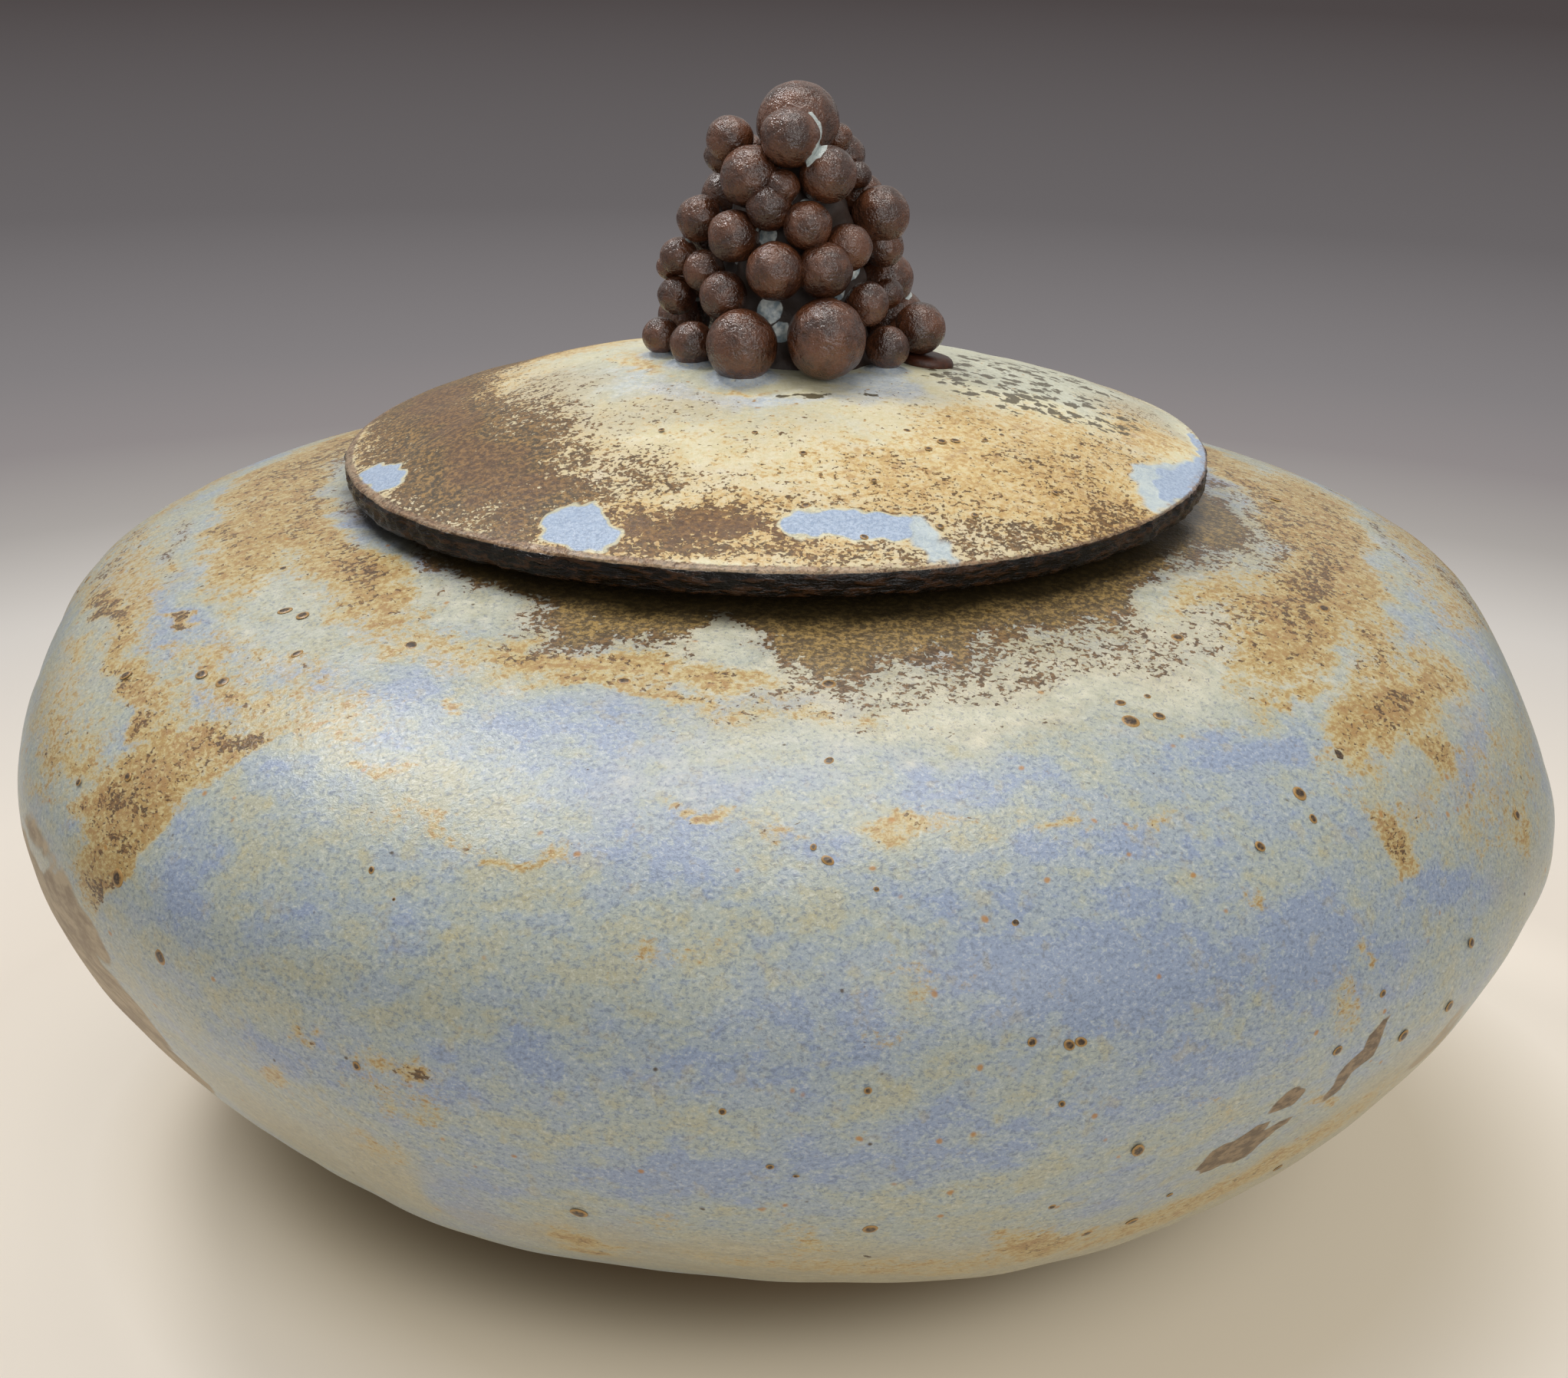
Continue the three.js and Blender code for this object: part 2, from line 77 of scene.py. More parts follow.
# Knob, placed from the lid's axis. Its foot is where the cone between the balls stands.
KNOB_X = 1.6
KNOB_Y = 7
KNOB_FOOT = np.array([MOUTH_OFFSET + KNOB_X, KNOB_Y, LID_SEAT + LID_RIM_TOP + LID_DOME_RISE])
BALL_COUNT = 54

BODY_COLUMNS = 480
BODY_ROWS = 176
LID_COLUMNS = 480
LID_ROWS = 132


# Small tools for numbers

# Waves added up in one smooth random field.
RIPPLE_WAVES = 28


def unit(vectors):
    return vectors / np.linalg.norm(vectors, axis=-1, keepdims=True)


def smooth_step(value, low, high):
    share = np.clip((value - low) / (high - low), 0, 1)
    return share * share * (3 - 2 * share)


def ripple(points, length, seed):
    """Smooth random field over points, with unit spread and hills about one length apart."""
    random = np.random.default_rng(seed)
    headings = unit(random.normal(size=(RIPPLE_WAVES, 3)))
    lengths = length * random.uniform(0.7, 1.5, RIPPLE_WAVES)
    phase = random.uniform(0, 2 * math.pi, RIPPLE_WAVES)
    pull = headings * (2 * math.pi / lengths[:, None])
    return np.cos(points @ pull.T + phase).sum(-1) * math.sqrt(2 / RIPPLE_WAVES)


def wandered(points, length, reach, seed):
    """Points moved about by a smooth random field, so that an outline drawn on them wavers."""
    shift = np.stack([ripple(points, length, seed + axis) for axis in range(3)], -1)
    return points + reach * shift


def bearings_round(columns):
    """Bearings of evenly spaced points round an axis, in radians."""
    return 2 * math.pi * np.arange(columns) / columns


# The jar's form

# Steps up the wall when a foot or mouth is looked for, and when the wall is measured between them.
SEARCH_STEPS = 720
MEASURE_STEPS = 600
# Tilt, up and down, at which that search stops.
NEARLY_UPRIGHT = 89.5


def heading(bearing, tilt):
    return np.stack([np.cos(tilt) * np.cos(bearing), np.cos(tilt) * np.sin(bearing), np.sin(tilt)], -1)


def norm(a, b, power):
    return (a ** power + b ** power) ** (1 / power)


def round_support(direction):
    """How far the round form reaches in a direction, before any flat is paddled into it."""
    upper = direction[2] > 0
    fullness = SHOULDER_FULLNESS if upper else BOWL_FULLNESS
    depth = SHOULDER_RISE if upper else BOWL_DEPTH
    across = BELLY_RADIUS * math.hypot(direction[0], direction[1])
    return norm(across, depth * abs(direction[2]), fullness / (fullness - 1))


def wall_distance(direction, inset):
    """Distance from the belly's middle to the wall, set in by an even amount, with its flats."""
    upper = direction[..., 2] > 0
    fullness = np.where(upper, SHOULDER_FULLNESS, BOWL_FULLNESS)
    depth = np.where(upper, SHOULDER_RISE, BOWL_DEPTH) - inset
    across = np.hypot(direction[..., 0], direction[..., 1]) / (BELLY_RADIUS - inset)
    total = norm(across, np.abs(direction[..., 2]) / depth, fullness) ** CREASE_SHARPNESS
    for bearing, tilt, bite in FLATS:
        flat = heading(math.radians(bearing), math.radians(tilt))
        facing = np.maximum(0, direction @ flat)
        total = total + (facing / (round_support(flat) - bite - inset)) ** CREASE_SHARPNESS
    return total ** (-1 / CREASE_SHARPNESS)


def wall_point(bearing, tilt, inset=0):
    """Point on the wall in a direction from the belly's middle. Angles are in radians."""
    direction = heading(np.asarray(bearing, float), np.asarray(tilt, float))
    return direction * wall_distance(direction, inset)[..., None] + [0, 0, BELLY_HEIGHT]


def wall_rows(columns, rows, inset, low_radius, high_radius):
    """Grid of points up the wall, from a circle round the foot to one round the mouth, evenly spaced."""
    grid = np.zeros((rows, columns, 3))
    steps = np.radians(np.linspace(-NEARLY_UPRIGHT, NEARLY_UPRIGHT, SEARCH_STEPS))
    for column in range(columns):
        bearing = 2 * math.pi * column / columns
        line = wall_point(np.full(steps.shape, bearing), steps, inset)
        foot_reach = np.hypot(line[:, 0], line[:, 1])
        mouth_reach = np.hypot(line[:, 0] - MOUTH_OFFSET, line[:, 1])
        lower = steps < 0
        start = np.interp(low_radius, foot_reach[lower], steps[lower])
        end = np.interp(-high_radius, -mouth_reach[~lower], steps[~lower])
        fine = np.linspace(start, end, MEASURE_STEPS)
        line = wall_point(np.full(fine.shape, bearing), fine, inset)
        length = np.concatenate([[0], np.cumsum(np.linalg.norm(np.diff(line, axis=0), axis=1))])
        share = np.linspace(0, length[-1], rows)
        grid[:, column] = np.stack([np.interp(share, length, line[:, axis]) for axis in range(3)], -1)
    return grid


# Meshes built ring by ring

class Shell:
    """Closed mesh gathered ring by ring, with any number of named values at its vertices."""

    def __init__(self):
        self.points = []
        self.faces = []
        self.count = 0

    def ring(self, points):
        self.points.append(np.asarray(points, float).reshape(-1, 3))
        first = self.count
        self.count += len(self.points[-1])
        return first

    def grid(self, rows):
        """Adds a stack of rings, joined in order, and returns where the first and last begin."""
        height, width = rows.shape[:2]
        first = self.ring(rows)
        corner = first + np.arange((height - 1) * width).reshape(height - 1, width)
        beside = np.roll(corner, -1, axis=1)
        faces = np.stack([corner, beside, beside + width, corner + width], -1).reshape(-1, 4)
        self.faces.extend(faces.tolist())
        return first, first + (height - 1) * width

    def bridge(self, lower, upper, width, upper_width=None):
        """Joins two rings. The upper one may have fewer points, by a whole ratio."""
        upper_width = upper_width or width
        ratio = width // upper_width
        for step in range(upper_width):
            below = [lower + (step * ratio + i) % width for i in range(ratio + 1)]
            self.faces.append([*below, upper + (step + 1) % upper_width, upper + step])

    def cap(self, ring, width, point, upward):
        """Closes a ring with triangles to one point."""
        pole = self.ring([point])
        for step in range(width):
            edge = [ring + step, ring + (step + 1) % width]
            self.faces.append([*(edge if upward else edge[::-1]), pole])

    def move(self, offset):
        self.points = [points + offset for points in self.points]

    def mesh_object(self, name, material, values=None):
        points = np.concatenate(self.points) * MM
        mesh = bpy.data.meshes.new(name)
        mesh.from_pydata(points.tolist(), [], self.faces)
        for key, value in (values or {}).items():
            layer = mesh.attributes.new(key, "FLOAT", "POINT")
            layer.data.foreach_set("value", np.asarray(value, np.float32))
        mesh.update()
        mesh.shade_smooth()
        mesh.materials.append(material)
        piece = bpy.data.objects.new(name, mesh)
        bpy.context.scene.collection.objects.link(piece)
        return piece


def circle(radius, height, columns, centre):
    around = bearings_round(columns)
    x = centre[0] + radius * np.cos(around)
    y = centre[1] + radius * np.sin(around)
    return np.stack([x, y, np.full(columns, float(height))], -1)


def lathe(profile, columns, centre=(0, 0)):
    return np.stack([circle(radius, height, columns, centre) for radius, height in profile])


# Patches of glaze, each an ellipse laid on the wall or drawn on the lid

# How far off the wall a patch on the belly still reaches, where the wall curves away under it.
PATCH_DEPTH = 45
# Widest soft edge that a small patch has, counted in its smaller half-width.
SOFTEST_ON_BELLY = 2.2
SOFTEST_ON_LID = 2.0


def belly_depth(points, bearing, tilt, across, along, turn):
    """How deep points lie inside an ellipse on the belly, in millimetres, positive inside."""
    b, t = math.radians(bearing), math.radians(tilt)
    centre = wall_point(b, t)
    east = np.array([-math.sin(b), math.cos(b), 0])
    north = unit(wall_point(b, t + 0.01) - wall_point(b, t - 0.01))
    north = unit(north - east * (north @ east))
    out = np.cross(east, north)
    c, s = math.cos(math.radians(turn)), math.sin(math.radians(turn))
    offset = points - centre
    u = offset @ (c * east + s * north) / across
    v = offset @ (c * north - s * east) / along
    w = offset @ out / PATCH_DEPTH
    return (1 - np.sqrt(u * u + v * v + w * w)) * min(across, along)


def lid_depth(points, x, y, across, along, turn):
    """How deep points lie inside an ellipse drawn on the lid, in millimetres, positive inside."""
    c, s = math.cos(math.radians(turn)), math.sin(math.radians(turn))
    dx, dy = points[:, 0] - x, points[:, 1] - y
    return (1 - np.hypot((c * dx + s * dy) / across, (c * dy - s * dx) / along)) * min(across, along)


def strongest(points, patches, depth_in, softness, softest):
    """Strongest of the patches at each point, 0 to 1, with edges softened over a width."""
    result = np.zeros(len(points))
    for *place, strength in patches:
        smaller = min(place[2], place[3])
        soft = min(softness, softest * smaller)
        depth = depth_in(points, *place)
        result = np.maximum(result, strength * smooth_step(depth, -0.5 * soft, 0.5 * soft))
    return result


def belly_patches(points, patches, softness):
    return strongest(points, patches, belly_depth, softness, SOFTEST_ON_BELLY)


def lid_patches(points, patches, softness):
    return strongest(points, patches, lid_depth, softness, SOFTEST_ON_LID)


# Patches on the belly: bearing, tilt, half-width across and along the wall, turn, strength.
BLUE = (
    (-107, 19, 20, 4.5, 3, 0.8), (-112, 16.8, 14, 3, 2, 0.55), (-104, 15.5, 6, 4.5, 15, 0.8),
    (-94.5, 16.6, 7, 3.2, 0, 1.0), (-105, 18.5, 6, 3, 0, 0.8), (-98.5, 12.4, 8.5, 4.2, 0, 1.0),
    (-89.5, 22.8, 7.5, 2, 0, 0.6), (-86.5, 19, 7, 2.2, -6, 0.7), (-80, 16.8, 5, 4, -50, 0.85),
    (-74, 16.3, 9, 2.6, 0, 0.85), (-87, 13.2, 8, 3, -10, 0.7), (-81.5, 11.2, 6, 2.6, 0, 0.7),
    (-57, 15.8, 15, 3.2, 2, 0.95), (-50.5, 22, 9, 3, 22, 0.6), (-70, 11.5, 12, 3.5, 0, 0.75),
    (-60, 11.5, 14, 4, 0, 0.55), (-71, 5.5, 19, 9, -4, 1.0), (-57, 5, 18, 7.5, -6, 0.9),
    (-66, -1.5, 17, 5.5, 6, 0.9), (-78, 7, 8, 6, 0, 0.8), (-44, 4.2, 13, 3.2, -14, 0.95),
    (-36, 2.2, 9, 1.8, -16, 0.6), (-31.5, 10.8, 12, 3.2, 18, 1.0), (-36.5, 16.5, 4, 1.4, 0, 0.6),
    (-17, 16, 10, 5, 0, 0.7), (-128.5, 6, 5.5, 6.5, 20, 0.8), (-126.5, 12.5, 7, 3, -15, 0.7),
    (-121, 6.3, 8, 4, 0, 0.7), (-119.8, 15.4, 5, 1.6, 0, 0.8), (-114, 8, 8, 5, 0, 0.35),
    (-104, 1, 12, 2.8, 2, 0.85), (-93, 1.8, 12, 4.5, 4, 0.8), (-86, 4.2, 11, 3.6, 2, 0.8),
    (-117, -3, 16, 2.6, 7, 0.9), (-108, -2.4, 12, 1.8, 0, 0.8), (-95, -6.8, 25, 3.6, 0, 0.95),
    (-84, -4.6, 13, 5, 10, 0.9), (-77, -4, 10, 3.5, 12, 0.7), (-88, -3, 7, 2.5, 0, 0.6),
    (-122, -5, 8, 4, 10, 0.6), (-110, -14, 7, 14, -18, 0.85), (-98.5, -17.5, 4, 12, -6, 0.6),
    (-130, -6, 9, 2.5, 20, 0.5), (-153, 17.3, 14, 2.2, 4, 0.9), (-162, 16.6, 9, 1.4, 4, 0.6),
    (-150, 16, 12, 1.6, 0, 0.6), (-132, 18.4, 13, 2.4, 0, 0.9), (-123, 18.5, 12, 4, 0, 0.75),
    (-138, 15, 8, 2.2, 0, 0.75), (-122, 22, 8, 2, -10, 0.4), (-143, 12, 6, 2, -30, 0.7),
    (-138, 9.3, 6, 2, 0, 0.5), (-142, 4.2, 2.4, 2.4, 0, 0.8), (-67, -11, 10, 4, -35, 0.5),
    (-51, -4.5, 6, 6, -40, 0.6), (-158, 30.4, 14, 2, 0, 0.9), (-143, 30, 8, 1.6, 0, 0.6),
)
OCHRE = (
    (-160, 27.3, 30, 3.6, 0, 0.9), (-143, 26.5, 14, 4.6, -6, 1.0), (-134, 24.8, 9, 3, 0, 0.8),
    (-129, 24, 8, 3, 0, 0.4), (-127.5, 22.8, 6, 2, 0, 0.6), (-162, 22.3, 8, 1.8, 0, 0.7),
    (-150, 20.2, 12, 2.4, 0, 0.35), (-165, 18.8, 4, 1, 0, 0.7), (-119.5, 19, 2.6, 1.2, 0, 0.9),
    (-139, 16.3, 17, 1.1, 0, 0.85), (-151.8, 17.2, 3.6, 0.8, 0, 1.0), (-160, 14.2, 24, 2.4, -2, 1.0),
    (-148, 13.2, 18, 2, -6, 0.85), (-142, 12, 7, 1.5, -20, 0.95), (-133.5, 12.8, 9, 3.4, 18, 1.0),
    (-131.5, 14.3, 6, 1.8, 4, 1.0), (-120.6, 14.1, 5, 1.1, -8, 0.8), (-125, 13.6, 3, 0.9, 0, 0.7),
    (-134, 9.5, 7, 4, 50, 0.95), (-138.5, 6.8, 7.5, 4.6, 12, 1.0), (-146, 8.8, 16, 1.4, 2, 0.8),
    (-148, 5.6, 12, 2, 6, 0.5), (-137.5, 3, 5, 2.6, 20, 0.9), (-158, 11, 12, 2, 0, 0.5),
    (-113, 12, 7, 1.6, 0, 0.6), (-117.5, 11.5, 4, 2, 0, 0.4), (-107.5, 11.3, 5, 1.1, 8, 0.8),
    (-97, 14.5, 5, 1.4, 0, 1.0), (-92, 14.1, 6, 1, 0, 0.6), (-82, 14.4, 7, 1.8, 2, 0.75),
    (-72, 13.4, 8, 1, 2, 0.55), (-65, 13.2, 5, 1, 4, 0.7), (-108, 24.4, 18, 2.6, -4, 0.95),
    (-107.5, 22.6, 10, 1.4, -2, 0.85), (-98, 24.5, 8, 2.2, -14, 0.85), (-98, 22, 10, 1, -2, 0.8),
    (-88, 21.4, 14, 1.4, 0, 0.5), (-57.5, 18, 3.5, 1.2, 0, 0.55), (-45.5, 18, 11, 1.1, 0, 0.85),
    (-33, 17.5, 10, 2, 0, 0.8), (-28, 18.5, 8, 4, 0, 0.8), (-35.5, 14.8, 10, 2.6, 4, 1.0),
    (-30, 15, 10, 3, 10, 0.95), (-36.5, 12, 4, 3, 50, 1.0), (-43, 13, 6, 1.6, 12, 0.8),
    (-41, 15.5, 5, 1.6, 10, 0.7), (-46.3, 8.5, 3.4, 4.2, 10, 1.0), (-42, 9.5, 7, 3, 0, 0.45),
    (-48.5, 6.7, 2, 0.8, 0, 0.8), (-28, 24, 22, 6, 6, 0.8), (-35, 27, 14, 5, 0, 0.6),
    (-42, 22.5, 4, 1.4, 0, 0.6), (-10, 24, 22, 9, 0, 0.7), (-29, 4, 6, 3.5, 0, 0.65),
    (-34, 4.5, 8, 2, -10, 0.4), (-22, 8, 10, 6, 0, 0.3), (-52, 3, 1.6, 1.4, 0, 0.7),
    (-55, 0.5, 4, 3, -60, 0.55), (-61.5, -4.5, 1.4, 4, 30, 0.55), (-51.3, -8, 4, 1.2, -50, 0.9),
    (-112, -4, 7, 3, 0, 0.4), (-111.2, -1.2, 3, 1.2, 0, 0.8), (-117.5, -1.2, 3, 1.4, 10, 0.8),
    (-122.8, -7, 2, 2.6, -20, 0.9), (-117.5, -9.5, 6, 3, 0, 0.5), (-103.3, -17, 4, 5, 0, 1.0),
    (-103.5, -20.5, 4, 3.4, 0, 1.0), (-98.5, -11.5, 5, 3, 0, 0.4), (-88.2, -13, 4, 7, 0, 0.5),
    (-71.5, -16.5, 9, 5, -42, 0.85), (-76, -13.5, 5, 1.5, -40, 0.7), (-82, 6.3, 6, 3.2, 0, 0.4),
    (-96.5, 7.5, 5, 2, 0, 0.45), (-84, 3.6, 4, 0.8, 0, 0.5), (-59, 8.7, 2.6, 1.6, 0, 0.6),
    (4, 12, 20, 10, 0, 0.4), (-178, 24, 44, 9, 0, 0.8), (-152, 26, 30, 6, -4, 0.75),
    (-165, 16, 30, 5, -2, 0.6), (-136.5, 8, 10, 12, 22, 0.9), (-150, 9, 22, 5, 0, 0.5),
    (-125, 23, 16, 5, -6, 0.5), (-108, 23.5, 13, 3, -4, 0.6), (-38, 15, 18, 5.5, 6, 0.9),
    (-28, 23, 34, 8, 6, 0.85), (-30, 8, 20, 10, 0, 0.35), (-55, -17, 26, 7, 22, 0.65),
    (-80, -19, 34, 6, 0, 0.5), (-8, 16, 20, 6, 0, 0.5), (-135, 16, 26, 12, 0, 0.4),
)
IRON = (
    (-143, 26, 15, 3.6, -6, 0.62), (-150, 27.4, 14, 2.4, 0, 0.55), (-160, 27, 14, 2.5, 0, 0.5),
    (-162, 13.8, 16, 1.8, -2, 0.75), (-149, 13, 12, 1.6, -6, 0.45), (-142, 12.2, 4, 1.2, -20, 0.6),
    (-133, 13.6, 8, 2.6, 18, 0.6), (-130.8, 14.4, 4, 1.3, 0, 0.85), (-134, 10.3, 5, 3, 40, 0.5),
    (-138.5, 7, 7.5, 4, 12, 0.62), (-137, 2.6, 3.4, 2, 30, 0.8), (-146, 8.6, 10, 0.9, 2, 0.4),
    (-151.8, 17.1, 2.6, 0.6, 0, 1.0), (-107, 22.6, 9, 0.9, -2, 0.5), (-98, 24.6, 5, 1.6, 0, 0.5),
    (-97, 22.1, 5, 0.8, 0, 0.5), (-97, 14.7, 2.4, 0.8, 0, 0.7), (-84.5, 20.6, 4, 1.2, 0, 0.5),
    (-74, 22.4, 4, 1.4, 0, 0.5), (-68, 23.4, 9, 2.2, 3, 0.62), (-62, 23.6, 10, 2.4, 0, 0.5),
    (-75, 24, 14, 3, 0, 0.32), (-71, 20.3, 12, 2, 0, 0.34), (-73, 18.5, 10, 1.2, 0, 0.22),
    (-56, 23.5, 8, 3, 0, 0.25), (-60, 26, 20, 3, 0, 0.4), (-36, 24.5, 20, 6, 0, 0.42),
    (-42, 22, 6, 3, 0, 0.3), (-35.5, 15, 10, 2, 2, 0.6), (-43, 13.2, 5, 1.6, 0, 0.35),
    (-46.4, 8.6, 2.6, 3.4, 10, 0.6), (-45.5, 18, 10, 0.8, 0, 0.4), (-33, 18, 6, 1.4, 0, 0.45),
    (-27, 17.5, 5, 3, 0, 0.4), (-26, 24, 16, 5, 0, 0.5), (-111.2, -1.2, 2.4, 1, 0, 0.7),
    (-117.5, -1.2, 2.6, 1.1, 10, 0.7), (-122.6, -7.2, 1.2, 1.6, -20, 0.6), (-103.3, -17, 2.4, 2.4, 0, 0.5),
    (-103.5, -20, 2, 2, 0, 0.4), (-88.2, -13, 3, 5, 0, 0.2), (-71, -17, 7, 3, -42, 0.35),
    (-8, 25, 20, 6, 0, 0.5), (-172, 27, 34, 4, 0, 0.5), (-170, 22, 26, 2.4, 2, 0.5),
    (-172, 18.5, 18, 1.8, 0, 0.55), (-176, 14.5, 20, 2, 0, 0.5), (-136.5, 7, 8, 10, 20, 0.42),
    (-68, 25.5, 44, 8, 0, 0.46), (-38, 15, 16, 4, 6, 0.36), (-24, 24, 26, 5, 6, 0.6),
    (-12, 27.5, 26, 3, 4, 0.6), (-150, 27, 24, 5, -4, 0.45), (-103.3, -17.5, 5, 6, 0, 0.3),
)
CREAM = (
    (-66, 22.5, 46, 7.5, 0, 0.95), (-92, 24.5, 14, 4, 0, 0.9), (-99, 28.5, 5, 8, -30, 1.0),
    (-100.5, 31, 4, 2, 0, 1.0), (-83, 19.5, 16, 4, 0, 0.6), (-46, 25, 12, 9, 10, 0.9),
    (-42, 29.6, 12, 1.1, 2, 1.0), (-118, 23, 20, 4, 0, 0.5), (-130, 27.5, 18, 4, 0, 0.7),
    (-150, 22, 30, 5, 0, 0.6), (-143, 19, 20, 3, 0, 0.5), (-48, 19, 16, 3, 0, 0.5),
)
BEIGE = (
    (-65, -25, 60, 18, 4, 1.0), (-118, -14, 10, 12, -20, 0.9), (-128, -16, 20, 14, 0, 0.7),
    (-93, -19, 36, 15, 0, 0.75), (-44, -12, 16, 12, 30, 0.9), (-30, 0, 16, 9, 0, 0.5),
    (-50, -16, 20, 10, 10, 0.9), (-155, 12, 20, 12, 0, 0.4),
)
# Where the glaze is thin or gone and the clay shows: the lower left flat, and chips at the lower right.
BARE = (
    (-151, -8, 24, 18, -10, 1.0), (-144, -2, 10, 7, 20, 1.0), (-148, 2.3, 8, 1.6, 0, 0.9),
    (-140.5, -2, 5, 5, 40, 0.9), (-146, -15, 12, 10, -30, 1.0), (-40, -8, 7, 5, 30, 0.6),
)
CHIPS = (
    (-59, -10.3, 5.8, 4.4, 0, 1.0), (-56, -9, 1.8, 2.2, 0, 1.0), (-56.8, -6, 2.8, 1.8, 0, 1.0),
    (-51.2, -4.8, 1.8, 7.4, -28, 1.0),
)
# Lower edge of the dark band under the lid: bearing and tilt.
BAND_EDGE = (
    (-180, 33), (-165, 32), (-155, 33), (-145, 32.5), (-138, 31), (-130, 30), (-125, 29.2), (-120, 28.3),
    (-115, 26.9), (-110, 26.5), (-105, 27), (-101, 27.8), (-99, 31.5), (-97, 32), (-95, 30), (-92, 27),
    (-90, 26), (-87, 25), (-84, 24.6), (-80, 26), (-78, 27.2), (-76, 27), (-74, 26), (-70, 27), (-65, 27.5),
    (-60, 28), (-55, 27), (-50, 28), (-46, 29.2), (-44, 31.5), (-40, 32), (-36, 31), (-30, 30.5), (-25, 30),
    (-10, 30), (5, 31), (20, 33), (60, 30), (90, 28), (120, 33), (150, 29), (180, 33),
)
# Tilts over which that band fades, below and above its edge.
BAND_FADE = (-4.4, 2.6)
# Right-hand edge of the ochre at the left, where a second coat of glaze laps over it: tilt and bearing.
LAP_EDGE = (
    (-8, -138.5), (-5, -138), (-2, -139), (1, -137), (4, -134.5), (7, -133), (10, -131.5), (13, -129.8),
    (15, -128),
)
# Iron spots: bearing, tilt, radius.
IRON_SPOTS = (
    (-116, 9.2, 0.45), (-113.8, 8, 0.3), (-113.5, 7, 0.4), (-117, 3.6, 0.7), (-113, 1.7, 0.5),
    (-107, 2.3, 0.45), (-101, 9.4, 0.35), (-102.6, 8.2, 0.5), (-103.8, 5.8, 0.5), (-103, 5.1, 0.8),
    (-105, -1.2, 0.6), (-101, -5.3, 0.8), (-115.2, -2.2, 0.7), (-114.8, -4.2, 0.5), (-93.2, -1.5, 0.5),
    (-90.5, -5.3, 0.5), (-89, -6, 0.35), (-85.2, 0, 0.5), (-87.4, 12.3, 0.7), (-88.3, 13, 0.45),
    (-80, 11.7, 0.95), (-79.4, 10.7, 0.8), (-76.3, 8.8, 0.7), (-76, 2.4, 0.6), (-73.8, 2, 0.7),
    (-73.1, 2.1, 0.65), (-76.1, 12.7, 0.6), (-74, -1.7, 0.5), (-72.9, 14.7, 0.5), (-72.7, 11.3, 0.45),
    (-87, 18.1, 0.6), (-93.2, 17.7, 0.4), (-84.5, 10.8, 0.45), (-97.2, 21, 1.2), (-96.1, 21.8, 0.9),
    (-105, 23.2, 0.9), (-92, 25.5, 1.2), (-86.5, 24, 1.2), (-74, 18.1, 1.2), (-75.4, 18.2, 0.7),
    (-61.8, 19.2, 1.3), (-59, 19.2, 0.8), (-61.3, 20.6, 0.7), (-58.4, 20.7, 0.6), (-46.7, 14, 1.8),
    (-52.7, 12.8, 1.0), (-58.3, 10.7, 0.8), (-52.9, 11.3, 0.6), (-48.7, 17, 0.6), (-48.8, 24.6, 1.0),
    (-28, 22, 1.1), (-68.2, -6.5, 1.2), (-54.3, -2.7, 0.8), (-47.4, -4, 1.1), (-42.2, -3.7, 0.9),
    (-50.8, 0.2, 0.6), (-130.8, 0.3, 1.4), (-135.3, 4, 1.3), (-130.6, 2.5, 0.5), (-127, 22.7, 1.4),
    (-141.3, 21.8, 1.0), (-143.8, 21.5, 1.0), (-139, 16, 1.1), (-141.8, 15.8, 1.0), (-153, 23.6, 0.9),
    (-136, 19.4, 0.8), (-149, 13.4, 1.0), (-138.8, 9.3, 0.8), (-143.5, 7.5, 0.7), (-102.4, -11.6, 1.1),
    (-94, -12.3, 0.9), (-84.3, -11.4, 1.1), (-84, -15.8, 1.3), (-84.4, -16.4, 0.9), (-81.2, -15.5, 0.7),
    (-78, -18.7, 0.9), (-82.3, -17.8, 0.7), (-68, -16.8, 1.1), (-64, -17.2, 1.1), (-72.8, -10.8, 0.7),
    (-62.5, -14, 0.6), (-37, 13.3, 1.1), (-35.7, 12.4, 1.0), (-29, 5, 0.9), (-25.5, 5.2, 0.9),
    (-30.6, 0.2, 1.0), (-126.5, 12.2, 0.5), (-91.3, -12.7, 0.6), (-40, 0, 0.8), (-49, -18, 0.9),
)
# Least share of iron where there is ochre.
IRON_IN_OCHRE = 0.44


def bearing_and_tilt(points):
    """Direction of points from the belly's middle, in degrees."""
    x, y, z = points.T
    return np.degrees(np.arctan2(y, x)), np.degrees(np.arctan2(z - BELLY_HEIGHT, np.hypot(x, y)))


def along_edge(edge, at):
    """The second number of an edge's corners, wherever the first is as given."""
    return np.interp(at, [first for first, _ in edge], [second for _, second in edge])


def band_cover(points):
    """How much of the dark band under the lid covers each point, falling off downwards."""
    bearing, tilt = bearing_and_tilt(points)
    return smooth_step(tilt - along_edge(BAND_EDGE, bearing), *BAND_FADE)


def lapped(points):
    """Shows where the second coat covers the ochre at the left: 1 there, 0 elsewhere."""
    bearing, tilt = bearing_and_tilt(points)
    past = bearing - along_edge(LAP_EDGE, tilt)
    side = smooth_step(past, -0.3, 0.3) * (1 - smooth_step(past, 6, 8))
    return side * smooth_step(tilt, -9, -7) * (1 - smooth_step(tilt, 14, 15.5))


def carried(patches, shift):
    """The same kind of patches carried round to the back, which the photograph doesn't show."""
    return [(bearing + shift, *rest) for bearing, *rest in patches]


